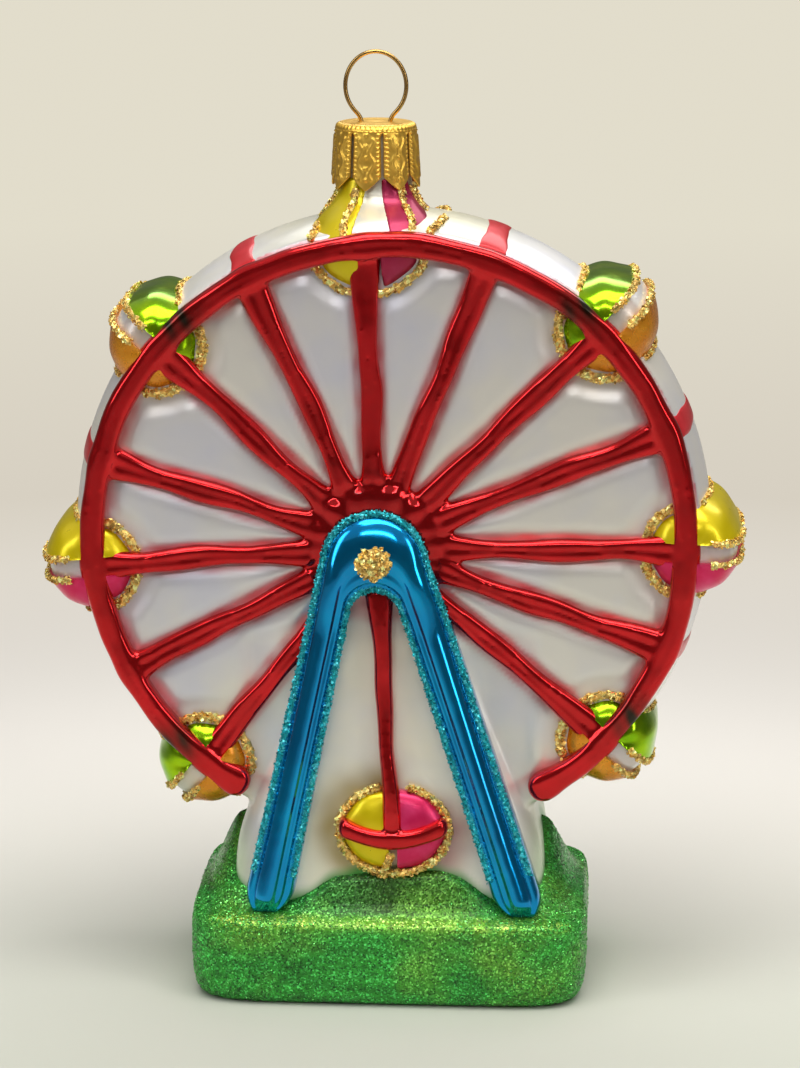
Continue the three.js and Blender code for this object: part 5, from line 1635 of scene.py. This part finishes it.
def sparkle_group():
    """Shared look of glitter: each small cell of a crystal pattern has its own tilt, brightness
    and gloss."""
    held = bpy.data.node_groups.get("Glitter cells")
    if held:
        return held
    tree, inside, outside = shared_group("Glitter cells", {
        "Colour": (0.8, 0.8, 0.8, 1), "Bright colour": (1, 1, 1, 1), "Dark colour": (0, 0, 0, 1),
        "Cells per metre": 3000.0, "Tilt": 0.5, "Roughness": 0.3,
    })
    link = tree.links.new
    where = tree.nodes.new("ShaderNodeTexCoord")
    cells = node(tree, "ShaderNodeTexVoronoi", feature="F1")
    link(where.outputs["Object"], cells.inputs["Vector"])
    link(inside.outputs["Cells per metre"], cells.inputs["Scale"])
    parts = tree.nodes.new("ShaderNodeSeparateColor")
    link(cells.outputs["Color"], parts.inputs["Color"])
    ramp = node(tree, "ShaderNodeMapRange", in_From_Min=0.72, in_From_Max=0.98)
    link(parts.outputs["Red"], ramp.inputs["Value"])
    dark = node(tree, "ShaderNodeMapRange", in_From_Min=0.0, in_From_Max=0.45, in_To_Min=1.0, in_To_Max=0.0)
    link(parts.outputs["Green"], dark.inputs["Value"])
    first, second = colour_mix(tree), colour_mix(tree)
    link(dark.outputs["Result"], first.inputs["Factor"])
    link(inside.outputs["Colour"], first.inputs[FIRST])
    link(inside.outputs["Dark colour"], first.inputs[SECOND])
    link(ramp.outputs["Result"], second.inputs["Factor"])
    link(first.outputs[MIXED], second.inputs[FIRST])
    link(inside.outputs["Bright colour"], second.inputs[SECOND])
    link(second.outputs[MIXED], outside.inputs["Colour"])
    gloss = node(tree, "ShaderNodeMapRange", in_To_Min=-0.12, in_To_Max=0.2)
    link(parts.outputs["Blue"], gloss.inputs["Value"])
    rough = node(tree, "ShaderNodeMath", operation="ADD")
    link(gloss.outputs["Result"], rough.inputs[0])
    link(inside.outputs["Roughness"], rough.inputs[1])
    link(rough.outputs[0], outside.inputs["Roughness"])
    centred = node(tree, "ShaderNodeVectorMath", operation="SUBTRACT")
    centred.inputs[1].default_value = (0.5, 0.5, 0.5)
    link(cells.outputs["Color"], centred.inputs[0])
    scaled = node(tree, "ShaderNodeVectorMath", operation="SCALE")
    link(centred.outputs[0], scaled.inputs[0])
    link(inside.outputs["Tilt"], scaled.inputs["Scale"])
    surface = tree.nodes.new("ShaderNodeNewGeometry")
    total = node(tree, "ShaderNodeVectorMath", operation="ADD")
    link(surface.outputs["Normal"], total.inputs[0])
    link(scaled.outputs[0], total.inputs[1])
    unit = node(tree, "ShaderNodeVectorMath", operation="NORMALIZE")
    link(total.outputs[0], unit.inputs[0])
    link(unit.outputs[0], outside.inputs["Normal"])
    return tree


def lacquer(name, tint, thin, metallic, rough, coat, patch=140.0, strength=0.4, ripple=0.2, coat_rough=0.04,
            layer=None):
    """Lacquer over silvered glass: the shared blown look under a clear coat."""
    held = bpy.data.materials.get(name)
    if held:
        return held
    material, tree, look = grouped(name, blown_glass_group(), {
        "Colour": (*tint, 1), "Thin colour": (*thin, 1), "Patch size": patch, "Patch strength": strength,
        "Roughness": rough, "Ripple": ripple,
    }, {"Metallic": metallic, "Coat Weight": coat, "Coat Roughness": coat_rough})
    if layer:
        own = node(tree, "ShaderNodeAttribute", attribute_name=layer)
        cool = colour_mix(tree, blend_type="MULTIPLY", in_Factor=1)
        cool.inputs[SECOND].default_value = (*thin, 1)
        tree.links.new(own.outputs["Color"], look.inputs["Colour"])
        tree.links.new(own.outputs["Color"], cool.inputs[FIRST])
        tree.links.new(cool.outputs[MIXED], look.inputs["Thin colour"])
    return material


def pearl_finish(colours):
    """Satin pearl: part metallic, with cool lavender patches over warm white."""
    return lacquer("pearl satin", colours.pearl[:], (0.86, 0.89, 1.08), 0.5, 0.36, 0.2, patch=52.0,
                   strength=1.0, ripple=0.3, coat_rough=0.2, layer="paint")


def red_finish(colours, layer=None):
    """Clear red lacquer over silver, brighter where it is thin, and darkened and stained after a layer."""
    name, thin = ("stained red lacquer", (1.45, 1.6, 2.2)) if layer else ("red lacquer", (0.72, 0.012, 0.02))
    return lacquer(name, colours.red[:], thin, 0.85, 0.12, 0.35, patch=160.0, strength=0.6,
                   ripple=0.3, layer=layer)


def blue_finish(colours):
    """Clear azure lacquer over silver."""
    return lacquer("blue lacquer", colours.blue[:], (0.0, 0.41, 0.8), 0.92, 0.12, 0.3, patch=110.0,
                   strength=0.6, ripple=0.15)


def lobe_finish(colours, tint, shade=1.0):
    """A gondola's lacquer: mirror-like green, satin for the other colours, darkened by the shade share as
    painted shade.
    """
    look = {
        "green": ((0.52, 0.78, 0.006), 0.9, 0.17, 0.15),
        "orange": ((0.92, 0.42, 0.03), 0.5, 0.26, 0.15),
        "yellow": ((0.82, 0.64, 0.006), 0.5, 0.28, 0.08),
        "pink": ((0.82, 0.06, 0.22), 0.5, 0.32, 0.08),
    }[tint]
    own = [c * shade for c in getattr(colours, tint)]
    thin = [c * shade for c in look[0]]
    # Darker copies are named deep; their darkness is painted shade.
    name = tint + " lacquer" + (" deep" if shade < 1 else "")
    return lacquer(name, own, thin, look[1], look[2], look[3], patch=260.0, strength=0.7, ripple=0.35)


def glitter_finish(name, tint, cells, rough):
    """Loose metal flakes: each cell of the pattern has its own tint, tilt and gloss."""
    held = bpy.data.materials.get(name)
    if held:
        return held
    return grouped(name, sparkle_group(), {
        "Colour": (*tint, 1), "Bright colour": (*[min(1, c * 1.6 + 0.12) for c in tint], 1),
        "Dark colour": (*[c * 0.45 for c in tint], 1), "Cells per metre": cells * 20.0, "Tilt": 0.7,
        "Roughness": rough,
    }, {"Metallic": 0.75})[0]


def base_finish():
    """Fine glitter in green lacquer: small bright and dark cells over slow lime patches."""
    material, tree, look = grouped("green glitter base", sparkle_group(), {
        "Cells per metre": 4300.0, "Tilt": 0.55, "Roughness": 0.35,
    }, {"Metallic": 0.5, "Coat Weight": 0.1})
    where = tree.nodes.new("ShaderNodeTexCoord")
    patch = node(tree, "ShaderNodeTexNoise", in_Scale=70.0, in_Detail=3.0)
    link = tree.links.new
    link(where.outputs["Object"], patch.inputs["Vector"])
    ramp = node(tree, "ShaderNodeMapRange", in_From_Min=0.5, in_From_Max=0.75)
    link(patch.outputs["Fac"], ramp.inputs["Value"])
    own = node(tree, "ShaderNodeAttribute", attribute_name="paint")
    mix = colour_mix(tree)
    link(own.outputs["Color"], mix.inputs[FIRST])
    mix.inputs[SECOND].default_value = (0.13, 0.38, 0.03, 1)
    link(ramp.outputs["Result"], mix.inputs["Factor"])
    link(mix.outputs[MIXED], look.inputs["Colour"])
    for socket, gain in (("Bright colour", (3.6, 2.6, 5, 1)), ("Dark colour", (0.3, 0.26, 0.4, 1))):
        scaled = colour_mix(tree, blend_type="MULTIPLY", clamp_result=True, in_Factor=1)
        scaled.inputs[SECOND].default_value = gain
        link(mix.outputs[MIXED], scaled.inputs[FIRST])
        link(scaled.outputs[MIXED], look.inputs[socket])
    return material


def cap_finish(colours):
    """Pressed brass with a satin gold wash."""
    return lacquer("cap gold", colours.cap[:], (0.78, 0.42, 0.05), 0.85, 0.34, 0.0, patch=400.0,
                   strength=0.6, ripple=0.12)


def wire_finish(colours):
    """Drawn brass wire, darker in patches."""
    return lacquer("wire brass", colours.wire[:], (0.4, 0.23, 0.07), 1.0, 0.22, 0.0, patch=300.0,
                   strength=0.5, ripple=0.0)


# ---------------------------------------------------------------- stage

def soft_step(tree, low, high):
    """A node that rises from 0 to 1 between two values, with soft ends."""
    return node(tree, "ShaderNodeMapRange", interpolation_type="SMOOTHSTEP",
                in_From_Min=low, in_From_Max=high)


def paper_finish(studio):
    """The paper sweep: plain pale paper that takes the ornament's shadow close by, falls to grey
    further off so that mirrors have something dark to show, and shows its own pale colour to the
    camera there."""
    material = bpy.data.materials.new("paper sweep")
    material.use_nodes = True
    tree = material.node_tree
    tree.nodes.clear()
    link = tree.links.new
    out = tree.nodes.new("ShaderNodeOutputMaterial")
    path = tree.nodes.new("ShaderNodeLightPath")
    where = tree.nodes.new("ShaderNodeTexCoord")
    away = node(tree, "ShaderNodeVectorMath", operation="LENGTH")
    link(where.outputs["Object"], away.inputs[0])
    far = soft_step(tree, 0.07, 0.26)
    link(away.outputs["Value"], far.inputs["Value"])
    dull = soft_step(tree, 0.1, 0.3)
    link(away.outputs["Value"], dull.inputs["Value"])
    ramp = tree.nodes.new("ShaderNodeValToRGB")
    span = node(tree, "ShaderNodeMapRange", in_From_Min=0.0, in_From_Max=1.0)
    link(away.outputs["Value"], span.inputs["Value"])
    link(span.outputs["Result"], ramp.inputs["Fac"])
    pale = ramp.color_ramp.elements
    pale[0].position, pale[0].color = 0.1, (0.86, 0.82, 0.76, 1)
    pale[1].position, pale[1].color = 0.75, (*studio.backdrop, 1)
    low = pale.new(0.32)
    low.color = (0.68, 0.63, 0.54, 1)
    glow = tree.nodes.new("ShaderNodeEmission")
    link(ramp.outputs["Color"], glow.inputs["Color"])
    parts = tree.nodes.new("ShaderNodeSeparateXYZ")
    link(where.outputs["Object"], parts.inputs[0])
    back = soft_step(tree, -0.07, 0.13)
    link(parts.outputs["Y"], back.inputs["Value"])
    # Painted shade: the paper in front of the ornament is darker than behind its foot, which also gives
    # mirrors something darker to show.
    close = colour_mix(tree)
    close.inputs[FIRST].default_value = (*studio.near, 1)
    close.inputs[SECOND].default_value = (*studio.floor, 1)
    link(back.outputs["Result"], close.inputs["Factor"])
    shade = colour_mix(tree)
    link(close.outputs[MIXED], shade.inputs[FIRST])
    shade.inputs[SECOND].default_value = (*studio.far, 1)
    link(dull.outputs["Result"], shade.inputs["Factor"])
    plain = tree.nodes.new("ShaderNodeBsdfDiffuse")
    link(shade.outputs[MIXED], plain.inputs["Color"])
    seen = node(tree, "ShaderNodeMath", operation="MULTIPLY")
    link(path.outputs["Is Camera Ray"], seen.inputs[0])
    link(far.outputs["Result"], seen.inputs[1])
    mix = tree.nodes.new("ShaderNodeMixShader")
    link(seen.outputs[0], mix.inputs["Fac"])
    link(plain.outputs["BSDF"], mix.inputs[1])
    link(glow.outputs["Emission"], mix.inputs[2])
    link(mix.outputs[0], out.inputs["Surface"])
    return material


def add_lamp(name, at, aim, size, watts, tint=(1, 1, 1)):
    """A soft square lamp that looks at a point."""
    lamp = bpy.data.lights.new(name, "AREA")
    lamp.shape, lamp.size, lamp.size_y = "RECTANGLE", size[0], size[1]
    lamp.energy, lamp.color = watts, tint
    held = bpy.data.objects.new(name, lamp)
    held.location = at
    held.rotation_euler = (Vector(aim) - Vector(at)).to_track_quat("-Z", "Y").to_euler()
    bpy.context.scene.collection.objects.link(held)


def make_stage(context):
    """A round of pale paper that sweeps up at its edge, soft lamps above and at the sides, and
    the camera. The paper is a profile turned about Z: flat, then a quarter circle, then upright."""
    studio = context.scene.ornament_studio
    flat, bend_radius, top = 1.1, 0.4, 0.9
    quarter = np.linspace(0, np.pi / 2, 14)
    profile = np.concatenate([
        [[0, 0], [0.1, 0], [0.3, 0], [0.7, 0]],
        np.stack([flat + bend_radius * np.sin(quarter), bend_radius * (1 - np.cos(quarter))], -1),
        [[flat + bend_radius, top]],
    ]) / MM
    turn = full_turn(96)
    points = spots(
        profile[:, 0][:, None] * np.cos(turn), profile[:, 0][:, None] * np.sin(turn), profile[:, 1][:, None])
    mesh = mesh_of("paper", skin(points, wrap_columns=True))
    upwards(mesh, 1e-6, lambda faces: min(faces, key=lambda f: f.calc_center_median().length))
    mesh.materials.append(paper_finish(studio))
    paper = bpy.data.objects.new("paper", mesh)
    context.scene.collection.objects.link(paper)

    world = bpy.data.worlds.new("room")
    context.scene.world = world
    world.use_nodes = True
    tree = world.node_tree
    link = tree.links.new
    shade = tree.nodes["Background"]
    where = tree.nodes.new("ShaderNodeTexCoord")
    parts = tree.nodes.new("ShaderNodeSeparateXYZ")
    link(where.outputs["Generated"], parts.inputs[0])
    rise = node(tree, "ShaderNodeMapRange", in_From_Min=-0.15, in_From_Max=0.85)
    link(parts.outputs["Z"], rise.inputs["Value"])
    ramp = tree.nodes.new("ShaderNodeValToRGB")
    ramp.color_ramp.elements[0].color = (0.3, 0.28, 0.26, 1)
    ramp.color_ramp.elements[1].color = (1, 1, 1, 1)
    link(rise.outputs["Result"], ramp.inputs["Fac"])
    link(ramp.outputs["Color"], shade.inputs["Color"])
    shade.inputs["Strength"].default_value = studio.room

    k = studio.lamp
    add_lamp("overhead softbox", (0.05, -0.12, 0.62), (0, 0, 0.05), (0.6, 0.36), 3.4 * k, (1, 0.98, 0.94))
    add_lamp("left window", (-0.62, -0.4, 0.42), (0, 0, 0.06), (0.22, 0.5), 1.2 * k, (0.95, 0.98, 1))
    add_lamp("right window", (0.6, -0.45, 0.34), (0, 0, 0.06), (0.14, 0.5), 1.0 * k, (1, 0.98, 0.95))
    add_lamp("front strip", (0.0, -0.8, 0.62), (0, 0, 0.07), (0.5, 0.08), 1.0 * k)
    add_lamp("back light", (0.1, 0.5, 0.5), (0, 0, 0.08), (0.7, 0.2), 1.4 * k)

    # The photograph's view: a long lens, a little above and to the right
    yaw, rise, away = math.radians(3.6), math.radians(13.5), 0.5
    target = Vector((0.89, 0, 65.14)) * MM
    pixels_per_metre, photo_height, sensor = 6937.6, 1068, 36
    back = Vector((math.sin(yaw) * math.cos(rise), -math.cos(yaw) * math.cos(rise), math.sin(rise)))
    lens = bpy.data.cameras.new("view")
    lens.sensor_fit, lens.sensor_width, lens.sensor_height = "AUTO", sensor, sensor
    lens.lens = pixels_per_metre * away / photo_height * sensor
    lens.clip_start, lens.clip_end = 0.01, 20
    camera = bpy.data.objects.new("view", lens)
    camera.location = target + back * away
    camera.rotation_euler = (-back).to_track_quat("-Z", "Y").to_euler()
    context.scene.collection.objects.link(camera)
    context.scene.camera = camera
    context.scene.view_settings.view_transform = "Standard"


# ---------------------------------------------------------------- operators

class ORNAMENT_OT_stage(bpy.types.Operator):
    """Makes the paper sweep, the lamps and the camera"""

    bl_idname = "ornament.stage"
    bl_label = "Stage"
    bl_options = {"REGISTER", "UNDO"}

    def execute(self, context):
        make_stage(context)
        return {"FINISHED"}


class ORNAMENT_OT_pearl_glass(bpy.types.Operator):
    """Makes the wheel, pedestal and neck"""

    bl_idname = "ornament.pearl_glass"
    bl_label = "Pearl glass"
    bl_options = {"REGISTER", "UNDO"}

    def execute(self, context):
        make_pearl_glass(context)
        return {"FINISHED"}


class ORNAMENT_OT_red_relief(bpy.types.Operator):
    """Makes the red ridges of both faces"""

    bl_idname = "ornament.red_relief"
    bl_label = "Rim, hub and spokes"
    bl_options = {"REGISTER", "UNDO"}

    def execute(self, context):
        make_red_relief(context)
        return {"FINISHED"}


class ORNAMENT_OT_tread_bands(bpy.types.Operator):
    """Makes the red bands across the tread"""

    bl_idname = "ornament.tread_bands"
    bl_label = "Tread bands"
    bl_options = {"REGISTER", "UNDO"}

    def execute(self, context):
        make_tread_bands(context)
        return {"FINISHED"}


class ORNAMENT_OT_gondolas(bpy.types.Operator):
    """Makes the coloured halves of the side gondolas"""

    bl_idname = "ornament.gondolas"
    bl_label = "Side gondolas"
    bl_options = {"REGISTER", "UNDO"}

    def execute(self, context):
        make_gondolas(context)
        return {"FINISHED"}


class ORNAMENT_OT_top_gondola(bpy.types.Operator):
    """Makes the gondola under the neck"""

    bl_idname = "ornament.top_gondola"
    bl_label = "Top gondola"
    bl_options = {"REGISTER", "UNDO"}

    def execute(self, context):
        make_top_gondola(context)
        return {"FINISHED"}


class ORNAMENT_OT_bottom_gondola(bpy.types.Operator):
    """Makes the gondola between the legs"""

    bl_idname = "ornament.bottom_gondola"
    bl_label = "Bottom gondola"
    bl_options = {"REGISTER", "UNDO"}

    def execute(self, context):
        make_bottom_gondola(context)
        return {"FINISHED"}


class ORNAMENT_OT_legs(bpy.types.Operator):
    """Makes the blue legs of both faces"""

    bl_idname = "ornament.legs"
    bl_label = "A-frame"
    bl_options = {"REGISTER", "UNDO"}

    def execute(self, context):
        make_legs(context)
        return {"FINISHED"}


class ORNAMENT_OT_gold_glitter(bpy.types.Operator):
    """Strews the gold glitter"""

    bl_idname = "ornament.gold_glitter"
    bl_label = "Gold glitter"
    bl_options = {"REGISTER", "UNDO"}

    def execute(self, context):
        make_gold_glitter(context)
        return {"FINISHED"}


class ORNAMENT_OT_teal_glitter(bpy.types.Operator):
    """Strews the teal glitter"""

    bl_idname = "ornament.teal_glitter"
    bl_label = "Teal glitter"
    bl_options = {"REGISTER", "UNDO"}

    def execute(self, context):
        make_teal_glitter(context)
        return {"FINISHED"}


class ORNAMENT_OT_base(bpy.types.Operator):
    """Makes the green glittered base"""

    bl_idname = "ornament.base"
    bl_label = "Base"
    bl_options = {"REGISTER", "UNDO"}

    def execute(self, context):
        make_base(context)
        return {"FINISHED"}


class ORNAMENT_OT_cap(bpy.types.Operator):
    """Makes the pressed cap"""

    bl_idname = "ornament.cap"
    bl_label = "Crown cap"
    bl_options = {"REGISTER", "UNDO"}

    def execute(self, context):
        make_cap(context)
        return {"FINISHED"}


class ORNAMENT_OT_hanger(bpy.types.Operator):
    """Makes the wire hanger"""

    bl_idname = "ornament.hanger"
    bl_label = "Hanger"
    bl_options = {"REGISTER", "UNDO"}

    def execute(self, context):
        make_hanger(context)
        return {"FINISHED"}


OPERATORS = [
    ORNAMENT_OT_stage,
    ORNAMENT_OT_pearl_glass,
    ORNAMENT_OT_red_relief,
    ORNAMENT_OT_tread_bands,
    ORNAMENT_OT_gondolas,
    ORNAMENT_OT_top_gondola,
    ORNAMENT_OT_bottom_gondola,
    ORNAMENT_OT_legs,
    ORNAMENT_OT_gold_glitter,
    ORNAMENT_OT_teal_glitter,
    ORNAMENT_OT_base,
    ORNAMENT_OT_cap,
    ORNAMENT_OT_hanger,
]


class ORNAMENT_PT_pieces(bpy.types.Panel):
    """Lists the pieces of the ornament in the sidebar."""

    bl_idname = "ORNAMENT_PT_pieces"
    bl_label = "Glass Wheel"
    bl_space_type = "VIEW_3D"
    bl_region_type = "UI"
    bl_category = "Glass Wheel"

    def draw(self, context):
        """Draws a button for each operator and a box for each group of sizes."""
        for kind in OPERATORS:
            self.layout.operator(kind.bl_idname)
        for group in GROUPS:
            held = getattr(context.scene, group)
            box = self.layout.box()
            for key in held.__annotations__:
                box.prop(held, key)


def register():
    """Registers every class and hangs the property groups on the scene."""
    for kind in [*GROUPS.values(), *OPERATORS, ORNAMENT_PT_pieces]:
        bpy.utils.register_class(kind)
    for name, kind in GROUPS.items():
        setattr(bpy.types.Scene, name, PointerProperty(type=kind))


def unregister():
    """Takes the property groups off the scene and unregisters every class."""
    for name in GROUPS:
        delattr(bpy.types.Scene, name)
    for kind in reversed([*GROUPS.values(), *OPERATORS, ORNAMENT_PT_pieces]):
        bpy.utils.unregister_class(kind)


def main():
    """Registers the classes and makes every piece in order."""
    register()
    for kind in OPERATORS:
        getattr(bpy.ops.ornament, kind.bl_idname.split(".")[1])()


if __name__ == "__main__":
    main()
